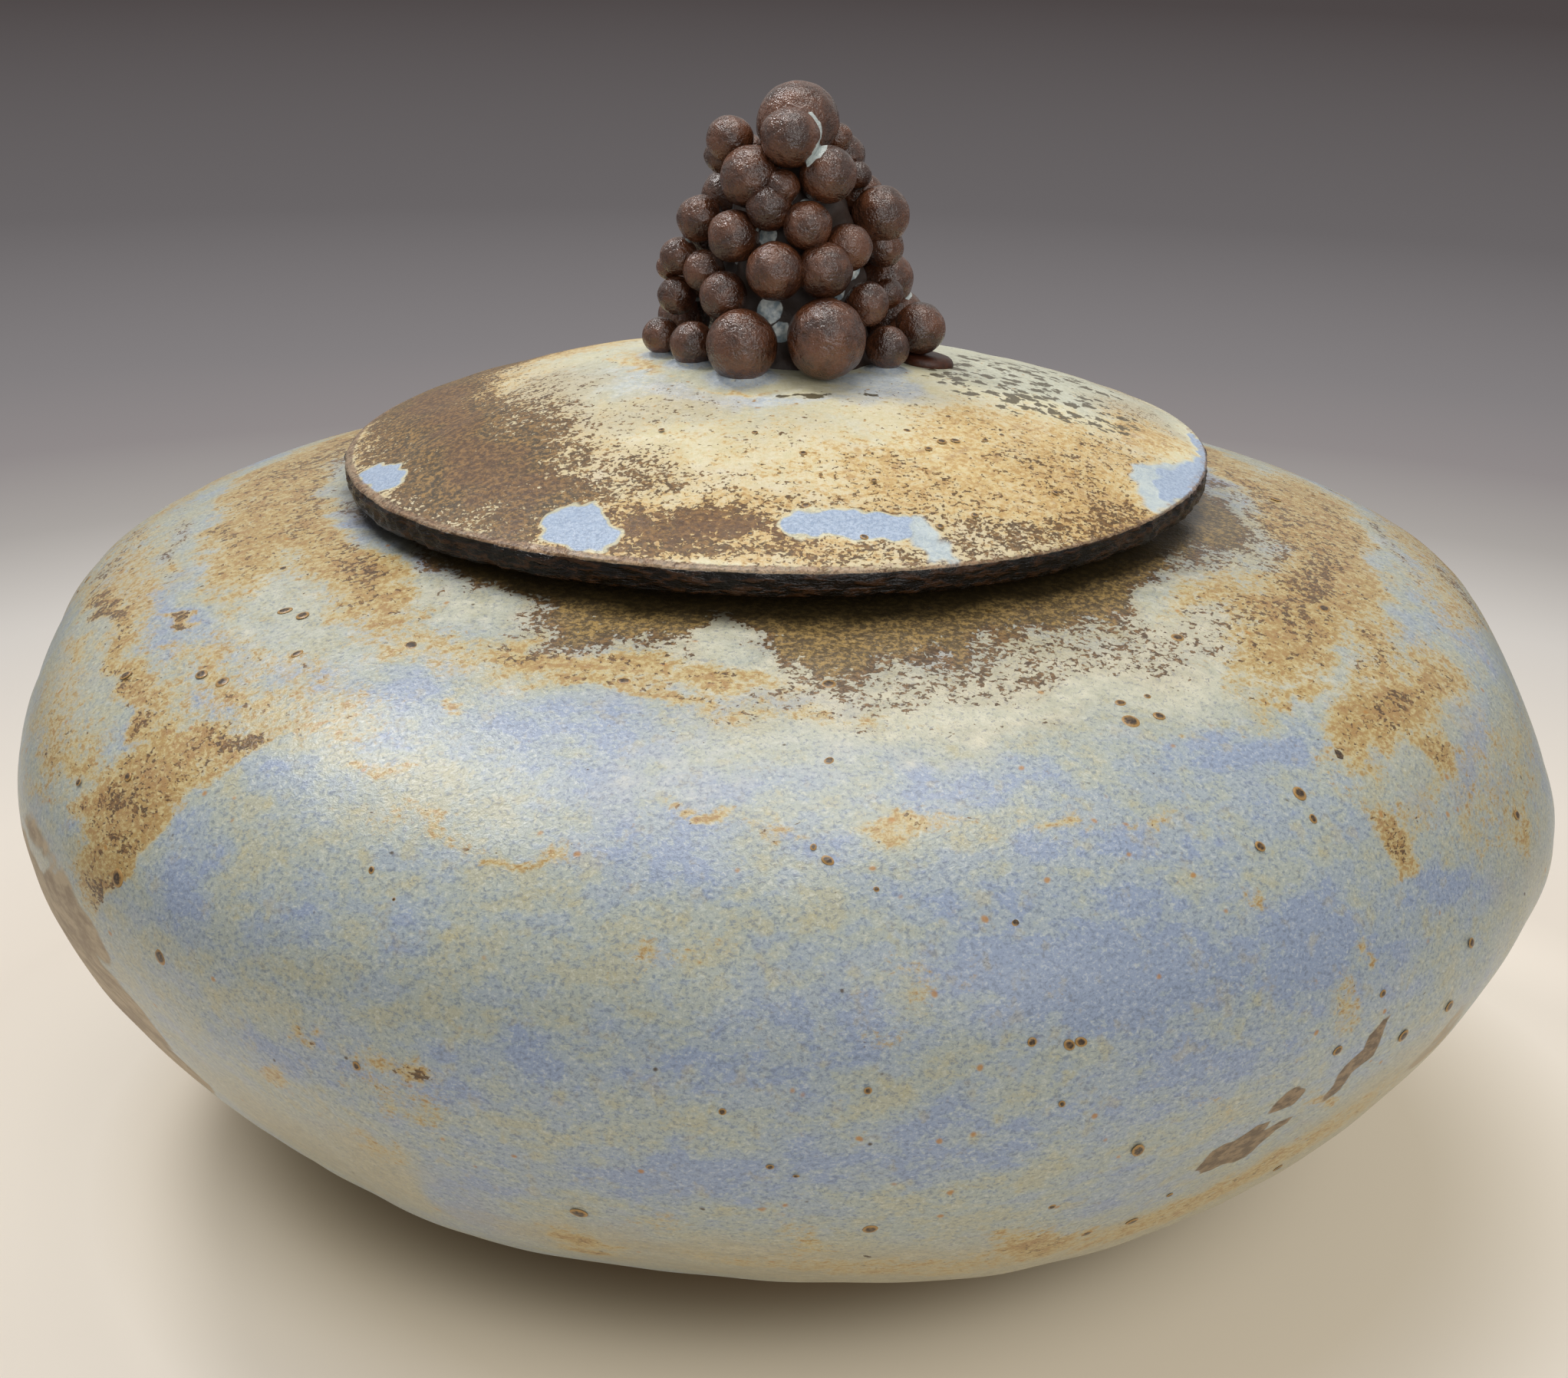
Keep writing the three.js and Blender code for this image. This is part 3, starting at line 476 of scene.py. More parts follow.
def belly_values(points):
    """What the glaze does at each point of the belly. The last number of each is its soft edge's width."""
    moved = wandered(wandered(points, 20, 1.2, 11), 6, 0.8, 21)
    tight = wandered(points, 5, 0.45, 31)
    lap = 1 - lapped(wandered(points, 7, 0.7, 61))
    values = {
        "blue": belly_patches(moved, [*BLUE, *carried(BLUE, 171)], 13),
        "ochre": belly_patches(moved, [*OCHRE, *carried(OCHRE, 174)], 8) * lap,
        "iron": belly_patches(moved, [*IRON, *carried(IRON, 174)], 8) * lap,
        "cream": belly_patches(moved, [*CREAM, *carried(CREAM, 165)], 14),
        "beige": belly_patches(moved, [*BEIGE, *carried(BEIGE, 120), *carried(BEIGE, 240)], 16),
        "bare": belly_patches(tight, BARE, 4) * lap,
        "chip": belly_patches(tight, CHIPS, 1.2),
    }
    values["iron"] = np.maximum(values["iron"], IRON_IN_OCHRE * values["ochre"])
    values["iron"] = np.maximum(values["iron"], band_cover(moved))
    return values


# Node trees

def linear(colour):
    """Scene colour of a web colour such as #a8b0a6."""
    channels = [int(colour[i:i + 2], 16) / 255 for i in (1, 3, 5)]
    return (*[c / 12.92 if c <= 0.04045 else ((c + 0.055) / 1.055) ** 2.4 for c in channels], 1)


class Nodes:
    """A node tree, filled step by step."""

    def __init__(self, tree):
        self.tree = tree
        tree.nodes.clear()

    def add(self, kind, inputs=None, **settings):
        """Adds a node. Each input is another node's output, a web colour or a plain value."""
        node = self.tree.nodes.new(kind)
        for key, value in settings.items():
            setattr(node, key, value)
        for key, value in (inputs or {}).items():
            socket = node.inputs[key]
            if isinstance(value, bpy.types.NodeSocket):
                self.tree.links.new(value, socket)
            elif isinstance(value, str) and value.startswith("#"):
                socket.default_value = linear(value)
            else:
                socket.default_value = value
        return node


class Finish(Nodes):
    """A surface finish on Object coordinates, with sizes in millimetres."""

    def __init__(self, name):
        self.material = bpy.data.materials.new(name)
        self.material.use_nodes = True
        super().__init__(self.material.node_tree)
        self.place = self.add("ShaderNodeTexCoord").outputs["Object"]

    def noise(self, size, detail=2, rough=0.5, stretch=(1, 1, 1), bend=0, offset=0):
        """Soft noise from 0 to 1, with hills about one size apart, in millimetres."""
        mapping = self.add("ShaderNodeMapping", {
            "Vector": self.place,
            "Location": (offset, 1.7 * offset, 0.6 * offset),
            "Scale": [1 / (MM * size * share) for share in stretch],
        })
        noise = self.add("ShaderNodeTexNoise", {
            "Vector": mapping.outputs["Vector"],
            "Scale": 1, "Detail": detail, "Roughness": rough, "Distortion": bend,
        })
        return noise.outputs["Fac"]

    def dots(self, apart, reach, offset=0, warp=0.3):
        """Soft dots, 1 at their middles, about one distance apart, in millimetres, and pushed out of round."""
        mapping = self.add("ShaderNodeMapping", {
            "Vector": self.place, "Location": (offset, 1.3 * offset, 0.7 * offset),
        })
        push = self.add("ShaderNodeTexNoise", {"Vector": self.place, "Scale": 2 / (MM * apart)})
        centred = self.add("ShaderNodeVectorMath", {
            0: push.outputs["Color"], 1: (0.5, 0.5, 0.5),
        }, operation="SUBTRACT")
        moved = self.add("ShaderNodeVectorMath", {
            0: centred.outputs["Vector"], 1: [4 * warp * MM] * 3, 2: mapping.outputs["Vector"],
        }, operation="MULTIPLY_ADD")
        cells = self.add("ShaderNodeTexVoronoi", {
            "Vector": moved.outputs["Vector"], "Scale": 1 / (MM * apart),
        }, feature="F1")
        return self.step(cells.outputs["Distance"], reach / apart, 0.35 * reach / apart)

    def value(self, name):
        """A value that the piece holds at its vertices."""
        return self.add("ShaderNodeAttribute", attribute_name=name).outputs["Fac"]

    def sum(self, *terms):
        """Weighted sum of (weight, value) pairs and plain numbers."""
        total = sum(term for term in terms if not isinstance(term, tuple))
        for weight, value in (term for term in terms if isinstance(term, tuple)):
            node = self.add("ShaderNodeMath", {0: value, 1: weight, 2: total}, operation="MULTIPLY_ADD")
            total = node.outputs[0]
        return total

    def times(self, a, b):
        return self.add("ShaderNodeMath", {0: a, 1: b}, operation="MULTIPLY").outputs[0]

    def step(self, value, low, high):
        """Smooth step from 0 at low to 1 at high, which may lie below it."""
        backwards = high < low
        return self.add("ShaderNodeMapRange", {
            "Value": value,
            "From Min": min(low, high), "From Max": max(low, high),
            "To Min": 1.0 if backwards else 0.0, "To Max": 0.0 if backwards else 1.0,
        }, interpolation_type="SMOOTHSTEP").outputs["Result"]

    def mix(self, a, b, share):
        return self.add("ShaderNodeMix", {0: share, 6: a, 7: b}, data_type="RGBA").outputs[2]

    def tint(self, under, over, value, low, high, most=1):
        """One colour laid over another as a value passes from low to high, at most by a share."""
        share = self.step(value, low, high)
        return self.mix(under, over, share if most == 1 else self.times(share, most))

    def blend(self, a, b, share):
        return self.add("ShaderNodeMix", {0: share, 2: a, 3: b}, data_type="FLOAT").outputs[0]

    def bump(self, height, depth):
        """Relief from a height value, scaled by a depth in millimetres."""
        return self.add("ShaderNodeBump", {"Strength": 1, "Distance": depth * MM, "Height": height}).outputs["Normal"]

    def finish(self, colour, rough, normal, specular=0.5):
        shader = self.add("ShaderNodeBsdfPrincipled", {
            "Base Color": colour, "Roughness": rough, "Specular IOR Level": specular, "Normal": normal,
        })
        return self.end(shader.outputs["BSDF"])

    def end(self, surface):
        self.add("ShaderNodeOutputMaterial", {"Surface": surface})
        return self.material


# Glazes and clays

# Pairs of colours run from the darker to the paler, or from the thinner coat to the thicker.
SAGE, GREY_GREEN, GREY_BLUE, THICK_BLUE = "#a8a893", "#a1a8a0", "#98a3aa", "#8b99b0"
STRAW_BLOOM = "#b7a870"
BODY_BEIGE = ("#9d967a", "#b6af92")
BODY_CREAM = ("#b0b19d", "#cccab6")
SLATE_SPECKS, WHITE_SPECKS = "#66707e", "#d6d8cf"
BODY_OCHRE = ("#c3b380", "#a48546")
RUST_IN_OCHRE = "#966a35"
IRON_HALO = "#ae8b4e"
IRON_SPECK = ("#432d17", "#7c5a30")
BODY_IRON = ("#503e20", "#a0834b")
TAN_DOT, BROWN_DOT = "#a8742c", "#46361f"
# Colour of the shadow painted on the wall close under the lid.
LID_SHADOW_PAINT = "#2c2415"
BARE_WALL = ("#94826a", "#b5a488")
CHIPPED = ("#5f4c35", "#8b7557")


def with_ochre(g, colour, ochre, pale, deep):
    """Glaze that warms to tan the more ochre it has, cloudy at the edges and freckled inside."""
    cloud = g.noise(3.0, detail=4, rough=0.7, bend=0.3, offset=70)
    grain = g.noise(0.7, detail=3, rough=0.7, bend=0.3, offset=77, stretch=(1.4, 1.4, 0.8))
    amount = g.sum((1.15, ochre), (1.3, cloud), (1.3, grain), -1.55)
    tan = g.tint(pale, deep, g.sum((0.4, amount), (1.1, grain)), 0.55, 0.92)
    tan = g.tint(tan, RUST_IN_OCHRE, g.sum((0.3, ochre), (1, cloud), (0.8, grain)), 1.08, 1.35, 0.7)
    return g.tint(colour, tan, amount, -0.02, 0.5, 0.9)


def with_iron(g, colour, iron, covered, size=0.5, halo=0.16):
    """Brown iron specks that run together where there is more, and woven brown and olive where they cover."""
    grain = g.noise(size, rough=0.6, bend=0.4, offset=50, stretch=(1.6, 1.6, 0.75))
    cluster = g.noise(4 * size, rough=0.6, offset=55)
    specks = g.sum((1.8, grain), (1.1, cluster), -0.95)
    amount = g.sum((1.2, iron), (-1, specks), -0.12)
    share = g.times(g.step(amount, -0.04, 0.1), 0.92)
    tone = g.noise(0.6, detail=3, rough=0.75, offset=88, stretch=(1.5, 1.5, 0.8))
    cover = g.tint(*covered, tone, 0.42, 0.64)
    speck = g.tint(*IRON_SPECK, tone, 0.4, 0.65)
    colour = g.tint(colour, IRON_HALO, iron, 0.02, 0.5, halo)
    return g.mix(colour, g.tint(speck, cover, iron, 0.6, 0.9), share), share


def body_glaze():
    """Matt glaze with sage and blue felted together, breaking to ochre and iron where it thins."""
    g = Finish("body_glaze")
    felt = g.noise(0.55, detail=3, rough=0.75, stretch=(1.2, 1.2, 0.9), bend=0.4)
    fleck = g.noise(1.8, detail=3, rough=0.7, stretch=(1.3, 1.3, 0.85), offset=9)
    cloud = g.noise(6, detail=4, rough=0.66, stretch=(1.5, 1.5, 0.75), offset=4)
    drift = g.noise(20, detail=3, rough=0.6, stretch=(1.7, 1.7, 0.7), offset=21)

    # How thick the blue lies, and the colours from sage to blue.
    level = g.sum((0.85, g.value("blue")), (2.2, cloud), (0.6, drift), (1.1, fleck), (0.7, felt), -2.27)
    colour = g.tint(SAGE, GREY_GREEN, level, -0.2, 0.06)
    colour = g.tint(colour, GREY_BLUE, level, 0.12, 0.34)
    colour = g.tint(colour, THICK_BLUE, level, 0.44, 0.7)
    bloom = g.sum((0.8, g.noise(3.2, detail=3, rough=0.6, offset=33)), (0.2, felt))
    colour = g.tint(colour, STRAW_BLOOM, bloom, 0.55, 0.64, 0.32)

    # Warmer and paler ground, then the fine felt of dark and white over all of it.
    woven = g.sum((0.5, felt), (0.5, fleck))
    beige = g.sum((1, g.value("beige")), (1.2, cloud), (0.4, fleck), -0.85)
    colour = g.tint(colour, g.tint(*BODY_BEIGE, woven, 0.38, 0.62), beige, 0.1, 0.85)
    cream = g.sum((1, g.value("cream")), (1.2, cloud), (0.6, fleck), -0.95)
    colour = g.tint(colour, g.tint(*BODY_CREAM, woven, 0.38, 0.62), cream, 0.05, 0.85)
    colour = g.tint(colour, SLATE_SPECKS, felt, 0.5, 0.66, 0.6)
    colour = g.tint(colour, WHITE_SPECKS, felt, 0.47, 0.32, 0.36)

    # Ochre, stray dots and iron, and the painted shadow close under the lid.
    colour = with_ochre(g, colour, g.value("ochre"), *BODY_OCHRE)
    colour = g.mix(colour, TAN_DOT, g.times(g.dots(6.5, 0.6), 0.8))
    colour = g.mix(colour, BROWN_DOT, g.times(g.dots(7.5, 0.42, offset=3), 0.9))
    colour, dark = with_iron(g, colour, g.value("iron"), BODY_IRON)
    colour = g.mix(colour, LID_SHADOW_PAINT, g.times(g.value("under"), 0.85))

    # Bare clay and chips.
    bare = g.step(g.sum((1, g.value("bare")), (0.9, cloud), (0.6, fleck), -0.75), 0.3, 0.7)
    colour = g.mix(colour, g.tint(*BARE_WALL, g.sum((0.6, cloud), (0.4, fleck)), 0.4, 0.6), bare)
    chip = g.step(g.sum((1, g.value("chip")), (0.4, fleck), -0.2), 0.4, 0.6)
    colour = g.mix(colour, g.tint(*CHIPPED, fleck, 0.4, 0.62), chip)

    rough = g.blend(g.blend(0.31, 0.3, dark), 0.7, g.sum((0.7, bare), (0.3, chip)))
    height = g.sum((1.3, felt), (1.1, fleck), (0.5, dark), (0.8, cloud), (-1.2, chip))
    return g.finish(colour, rough, g.bump(height, 0.07))


def bare_clay(name, dark, light, rough=0.6, depth=0.12):
    g = Finish(name)
    grain = g.noise(0.7, detail=3, rough=0.7)
    patch = g.noise(5, detail=3, rough=0.6, offset=12)
    colour = g.tint(dark, light, g.sum((0.55, grain), (0.45, patch)), 0.36, 0.64)
    return g.finish(colour, rough, g.bump(grain, depth))


# Camera

CAMERA_DISTANCE = 450
CAMERA_TILT = 20.01
CAMERA_ROLL = 1.40
TARGET = (-0.80, 0, 77.95)
FOCAL_PIXELS = 3648.33
PHOTO_WIDTH = 2044
SENSOR = 36
NEAREST_SEEN = 10


def place_camera():
    tilt, roll = math.radians(CAMERA_TILT), math.radians(CAMERA_ROLL)
    back = Vector((0, -math.cos(tilt), math.sin(tilt)))
    level = Vector((1, 0, 0))
    upright = level.cross(-back)
    right = math.cos(roll) * level + math.sin(roll) * upright
    up = math.cos(roll) * upright - math.sin(roll) * level
    data = bpy.data.cameras.new("camera")
    data.sensor_fit = "HORIZONTAL"
    data.sensor_width = SENSOR
    data.lens = FOCAL_PIXELS / PHOTO_WIDTH * SENSOR
    data.clip_start = NEAREST_SEEN * MM
    camera = bpy.data.objects.new("camera", data)
    turn = Matrix((right, up, back)).transposed().to_4x4()
    camera.matrix_world = Matrix.Translation(MM * (Vector(TARGET) + CAMERA_DISTANCE * back)) @ turn
    bpy.context.scene.collection.objects.link(camera)
    bpy.context.scene.camera = camera


# Floor, with distances in metres

# Floor colour by distance from the middle of the painted pool of light on it: painted shade near the middle and a
# bright painted ring round the jar, then darker far out.
FLOOR_COLOURS = (
    (0.0, "#cdbfa6"), (0.095, "#d9ccb6"), (0.13, "#f0e7da"), (0.165, "#dfd6ca"), (0.21, "#e0d8cd"),
    (0.32, "#cfcac4"), (0.40, "#a8a39f"), (0.48, "#908a8a"), (0.58, "#837f80"), (0.86, "#696566"),
    (1.77, "#4d4747"), (3.0, "#443f40"),
)
FAR = FLOOR_COLOURS[-1][0]
PAINTED_LIGHT_CENTRE = (0.015, 0, 0)
# The painted shadow under the jar: its middle, colour, and the distances over which it ends.
PAINTED_SHADOW_CENTRE = (-0.010, 0.020, 0)
PAINTED_SHADOW_COLOUR = "#84735a"
PAINTED_SHADOW_END = (0.062, 0.094)
# Share of the floor's own colour that glows whatever the lamps do: some outside the painted shadow, as painted light,
# and all of it far out.
PAINTED_GLOW_NEAR = 0.45
PAINTED_GLOW_START = (0.074, 0.11)
GLOW_FAR_START = (0.17, 0.42)
# Rings of the floor's mesh and its height, in millimetres.
FLOOR_RINGS = (9000, 3000, 1000, 300, 20)
FLOOR_LEVEL = -0.1
FLOOR_COLUMNS = 96


def floor_reach(f, centre):
    """Distance on the floor from a centre."""
    shift = f.add("ShaderNodeVectorMath", {0: f.place, 1: centre}, operation="SUBTRACT")
    return f.add("ShaderNodeVectorMath", {0: shift.outputs["Vector"]}, operation="LENGTH").outputs["Value"]


def floor_finish():
    """Pale floor with a painted pool of light that darkens with distance, and a painted shadow close under the jar.
    """
    f = Finish("floor")
    far = floor_reach(f, PAINTED_LIGHT_CENTRE)
    near = floor_reach(f, PAINTED_SHADOW_CENTRE)
    share = f.add("ShaderNodeMath", {0: far, 1: FAR}, operation="DIVIDE").outputs[0]
    ramp = f.add("ShaderNodeValToRGB", {"Fac": share})
    stops = ramp.color_ramp.elements
    for index, (reach, colour) in enumerate(FLOOR_COLOURS):
        stop = stops[index] if index < 2 else stops.new(reach / FAR)
        stop.position = reach / FAR
        stop.color = linear(colour)
    colour = f.tint(PAINTED_SHADOW_COLOUR, ramp.outputs["Color"], near, *PAINTED_SHADOW_END)
    lit = f.add("ShaderNodeBsdfDiffuse", {"Color": colour}).outputs[0]
    # The floor's glow: painted light near the jar, and the plain backdrop colour far out.
    glow = f.add("ShaderNodeEmission", {"Color": colour}).outputs[0]
    share = f.blend(f.times(f.step(near, *PAINTED_GLOW_START), PAINTED_GLOW_NEAR), 1.0, f.step(far, *GLOW_FAR_START))
    return f.end(f.add("ShaderNodeMixShader", {0: share, 1: lit, 2: glow}).outputs[0])


def lay_floor():
    shell = Shell()
    _, last = shell.grid(lathe([(reach, FLOOR_LEVEL) for reach in FLOOR_RINGS], FLOOR_COLUMNS))
    shell.cap(last, FLOOR_COLUMNS, (0, 0, FLOOR_LEVEL), True)
    floor = shell.mesh_object("floor", floor_finish())


# Light

# Strength of the sky at the level and overhead.
SKY_LOW = 0.56
SKY_HIGH = 0.5
SKY_COLOUR = "#fbf9f6"
# Each lamp's name, place, what it points at, width, power in watts, and colour. Lengths are metres.
LAMPS = (
    ("softbox", (0.04, 0.12, 0.94), (0, 0, 0.09), 0.5, 3.4, "#fffaf4"),
    ("window", (-0.44, 0.27, 0.9), (-0.04, -0.06, 0.09), 0.21, 3.4, "#fefcfc"),
    ("wall", (0.42, -1.2, 0.6), (0, -0.05, 0.06), 1.1, 5.6, "#fffdfb"),
)


def light_sky():
    """Even soft light from all round, a little weaker overhead. The camera sees the floor's far colour."""
    world = bpy.data.worlds.new("sky")
    bpy.context.scene.world = world
    world.use_nodes = True
    n = Nodes(world.node_tree)
    parts = n.add("ShaderNodeSeparateXYZ", {0: n.add("ShaderNodeTexCoord").outputs["Generated"]})
    height = n.add("ShaderNodeMapRange", {
        "Value": parts.outputs["Z"], "From Min": 0.0, "From Max": 1.0, "To Min": SKY_LOW, "To Max": SKY_HIGH,
    }, interpolation_type="SMOOTHSTEP")
    sky = n.add("ShaderNodeBackground", {"Color": SKY_COLOUR, "Strength": height.outputs["Result"]})
    seen = n.add("ShaderNodeBackground", {"Color": FLOOR_COLOURS[-1][1]})
    path = n.add("ShaderNodeLightPath")
    mix = n.add("ShaderNodeMixShader", {0: path.outputs["Is Camera Ray"], 1: sky.outputs[0], 2: seen.outputs[0]})
    n.add("ShaderNodeOutputWorld", {"Surface": mix.outputs[0]})


def soft_lamp(name, place, aim, size, power, colour):
    data = bpy.data.lights.new(name, "AREA")
    data.shape = "DISK"
    data.size = size
    data.energy = power
    data.color = linear(colour)[:3]
    lamp = bpy.data.objects.new(name, data)
    lamp.location = place
    lamp.rotation_euler = (Vector(aim) - Vector(place)).to_track_quat("-Z", "Y").to_euler()
    bpy.context.scene.collection.objects.link(lamp)


place_camera()
lay_floor()
light_sky()
for lamp in LAMPS:
    soft_lamp(*lamp)
bpy.context.scene.view_settings.view_transform = "Standard"


# The jar's body

FOOT_PROFILE = (
    (0.4, 2.5), (22, 2.5), (39.5, 2.5), (41.3, 2.1), (42, 1.2), (42.8, 0.3), (43.8, 0), (47.2, 0), (48.5, 0.1),
    (49.2, 0.6), (49.7, 1.6), (50.3, 3.4), (50.8, 4.8),
)
COLLAR_PROFILE = (
    (54.4, 114.0), (54.1, 114.6), (53.3, 114.95), (52.2, 115.0), (49.8, 115.0), (48.7, 114.75), (48.15, 114.1),
    (48, 112.5),
)
LINING_COLUMNS = 120
LINING_ROWS = 40
LINING_START = 1.0
# Shares of the way up the wall between which the hand's swell is at its full strength.
SWELL_START = (0, 0.06)
SWELL_END = (0.95, 1)
# Heights over which the glaze ends above the foot.
GLAZE_END = (6.5, 9.5)
# Distances from the mouth's middle, and heights, between which a shadow is painted on the wall close under the lid.
LID_SHADOW_REACH = (67.5, 64.5)
LID_SHADOW_HEIGHT = (100, 105)
COLLAR_BARE = 0.3


def make_body():
    """One closed wall: foot ring, outer wall, collar, then the lining down inside."""
    shell = Shell()
    grid = wall_rows(BODY_COLUMNS, BODY_ROWS, 0, FOOT_TOP_RADIUS, COLLAR_OUTER)
    flat = grid.reshape(-1, 3)
    outward = unit(flat - [0, 0, BELLY_HEIGHT])
    share = np.repeat(np.linspace(0, 1, BODY_ROWS), BODY_COLUMNS)
    fade = smooth_step(share, *SWELL_START) * (1 - smooth_step(share, *SWELL_END))
    swell = 0.7 * ripple(flat, HAND_SWELL_LENGTH, 3) + 0.25 * ripple(flat, THROWING_LENGTH, 5)
    flat = flat + outward * (HAND_SWELL * (np.clip(swell, -1, 1) - 1) * fade)[:, None]

    foot_first, foot_last = shell.grid(lathe(FOOT_PROFILE, BODY_COLUMNS))
    shell.cap(foot_first, BODY_COLUMNS, (0, 0, FOOT_PROFILE[0][1]), False)
    wall_first, wall_last = shell.grid(flat.reshape(grid.shape))
    shell.bridge(foot_last, wall_first, BODY_COLUMNS)
    collar_first, collar_last = shell.grid(lathe(COLLAR_PROFILE, BODY_COLUMNS, (MOUTH_OFFSET, 0)))
    shell.bridge(wall_last, collar_first, BODY_COLUMNS)
    lining = wall_rows(LINING_COLUMNS, LINING_ROWS, WALL, LINING_START, MOUTH_RADIUS)[::-1]
    lining_first, lining_last = shell.grid(lining)
    shell.bridge(collar_last, lining_first, BODY_COLUMNS, LINING_COLUMNS)
    shell.cap(lining_last, LINING_COLUMNS, lining[-1].mean(0), True)

    points = np.concatenate(shell.points)
    on_wall = np.zeros(len(points))
    on_wall[wall_first:wall_first + BODY_ROWS * BODY_COLUMNS] = 1
    values = {name: value * on_wall for name, value in belly_values(points).items()}
    # Where the shadow under the lid's edge is painted on.
    from_mouth = np.hypot(points[:, 0] - MOUTH_OFFSET, points[:, 1]) + 0.5 * ripple(points, 6, 63)
    values["under"] = smooth_step(from_mouth, *LID_SHADOW_REACH) * smooth_step(points[:, 2], *LID_SHADOW_HEIGHT)
    glazed = on_wall * smooth_step(points[:, 2], *GLAZE_END)
    values["bare"] = np.maximum(values["bare"], 1 - glazed)
    values["bare"][lining_first:] = 0
    values["bare"][collar_first:lining_first] = COLLAR_BARE
    values["iron"][collar_first:lining_first] = 1
    piece = shell.mesh_object("jar_body_glazed", body_glaze(), values)
    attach(piece, "jar")
    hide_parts("jar_body")


make_body()


# The lid

# Patches on the lid: place from its axis, half-width across and along, turn, strength.
LID_IRON = (
    (-55, 14, 12, 28, 4, 1.0), (-50, -14, 13, 22, 14, 1.0), (-43, -33, 14, 16, 40, 1.0),
    (-34, -46, 14, 8, -34, 0.9), (-60, -12, 6, 20, 8, 0.8), (-36, -24, 9, 16, 16, 0.8),
    (-29, -36, 9, 9, 0, 0.66), (-20, -44, 14, 8, -20, 0.6), (-12, -56, 18, 4, -6, 0.85),
    (-14, -60, 26, 5, -6, 0.7), (10, -62, 26, 5, 0, 0.55), (-36, -6, 8, 16, 8, 0.45),
    (-26, -26, 8, 10, 20, 0.4), (-8, -46, 16, 10, 0, 0.36), (35, -52, 22, 6, 32, 0.62),
    (47, -43, 12, 6, 42, 0.62), (22, -46, 22, 12, 0, 0.4), (42, -34, 16, 14, 0, 0.42),
    (4, -34, 22, 10, 0, 0.28), (32, -22, 26, 13, 0, 0.3), (14, -54, 34, 7, 0, 0.5), (50, -20, 9, 12, 0, 0.42),
    (-18, -24, 14, 10, 20, 0.34), (56, 4, 7, 14, 0, 0.4), (-46, 40, 16, 26, -30, 0.9),
    (-20, 58, 28, 8, 8, 0.75), (24, 56, 24, 8, -20, 0.6), (54, 32, 8, 18, 30, 0.35),
)
LID_RED = (
    (-54, 10, 5, 14, 8, 1.0), (-49.5, -12, 4.5, 14, 10, 1.0), (-43, -31, 5, 10, 26, 1.0),
    (-36, -43, 8, 5, -30, 0.8), (-10, -56.5, 16, 2.8, -5, 0.8),
)
LID_OCHRE = (
    (0, -40, 40, 18, 0, 0.3), (38, -32, 22, 20, 30, 0.75), (22, -44, 24, 12, 0, 0.7),
    (-8, -40, 20, 14, 0, 0.35), (-14, -58, 30, 8, -4, 0.9), (46, -40, 12, 12, 40, 0.9),
    (57, -8, 6, 11, 6, 0.9), (44, -14, 14, 6, -10, 0.5), (-22, 1, 2.8, 10, 24, 0.85),
    (-7, -16.2, 6, 1.3, -14, 0.8), (-30, -32, 10, 12, 20, 0.4), (-50, 4, 12, 36, 0, 0.7),
    (-58, 10, 10, 36, 0, 0.8), (-40, 40, 30, 24, 0, 0.9), (30, 52, 34, 12, -20, 0.7),
)
LID_SAGE = (
    (42, 14, 26, 20, 0, 0.9), (-20, -4, 20, 18, 0, 0.85), (-12, -25, 28, 7, -8, 0.7),
    (-34, 22, 13, 20, 0, 0.6), (20, 40, 40, 18, 0, 0.8), (24, -14, 10, 8, 0, 0.5), (-26, 4, 6, 18, 20, 0.7),
    (-28, -8, 8, 14, 20, 0.5),
)
LID_MOTTLE = (
    (3.8, -19.3, 2.2, 0.9, -4, 1.7), (11.4, -17.5, 1.3, 0.7, 20, 1.7), (37, 0, 14, 13, 0, 1),
    (47, -4, 10, 11, 10, 0.9), (38, 16, 16, 8, 0, 0.9),
)
LID_POOL = (
    (-5, -21, 9, 3, -6, 1.0), (-16, -16, 6, 3, -40, 0.8), (15, -15, 6, 5, 30, 1.0), (7, -21, 6, 2, 10, 0.7),
    (12, -9, 6, 5, 0, 0.9), (-24, -8, 4, 10, 20, 0.6),
)
# Outlines of the four blue drips in front, then of the pale tails that run from them.
LID_DRIPS = (
    (
        (-62.6, -20), (-61.2, -17.8), (-59, -18.4), (-56.2, -21.4), (-54.5, -25.4), (-54, -29), (-54.8, -31),
        (-57, -30.6), (-59.4, -28), (-61.6, -23),
    ),
    (
        (-32, -53), (-31, -50), (-29, -48.4), (-26, -48.6), (-24.2, -49.6), (-23.6, -52.4), (-21.8, -55.6),
        (-20.4, -57.8), (-21.6, -60), (-24.2, -60.8), (-28, -59), (-31, -57.6),
    ),
    (
        (0.6, -56.4), (3, -53.8), (8, -53), (12, -52.5), (17.4, -52.3), (19.8, -53.4), (19.8, -56),
        (18.4, -58.4), (14, -58.8), (9, -59), (3.2, -59.8), (1.4, -58.6),
    ),
    (
        (56.6, -21.4), (60.6, -17), (64.4, -8), (64, 0), (64, 6), (66, 7), (68, -4), (66.4, -14),
        (64.6, -20.4), (61, -27.4), (57, -33), (55.4, -31), (55, -26),
    ),
)
LID_TAILS = (
    (
        (18.4, -52), (21.4, -52.8), (22.8, -54.6), (23.4, -57), (25.6, -60.8), (24.4, -62), (21.4, -61.4),
        (18.6, -58),
    ),
    (
        (52.3, -24.4), (54.4, -21.4), (58.4, -18.4), (61.8, -14), (64.4, -7), (68, -8), (65, -21), (61, -28),
        (55, -37), (53.6, -36), (52.8, -32),
    ),
)
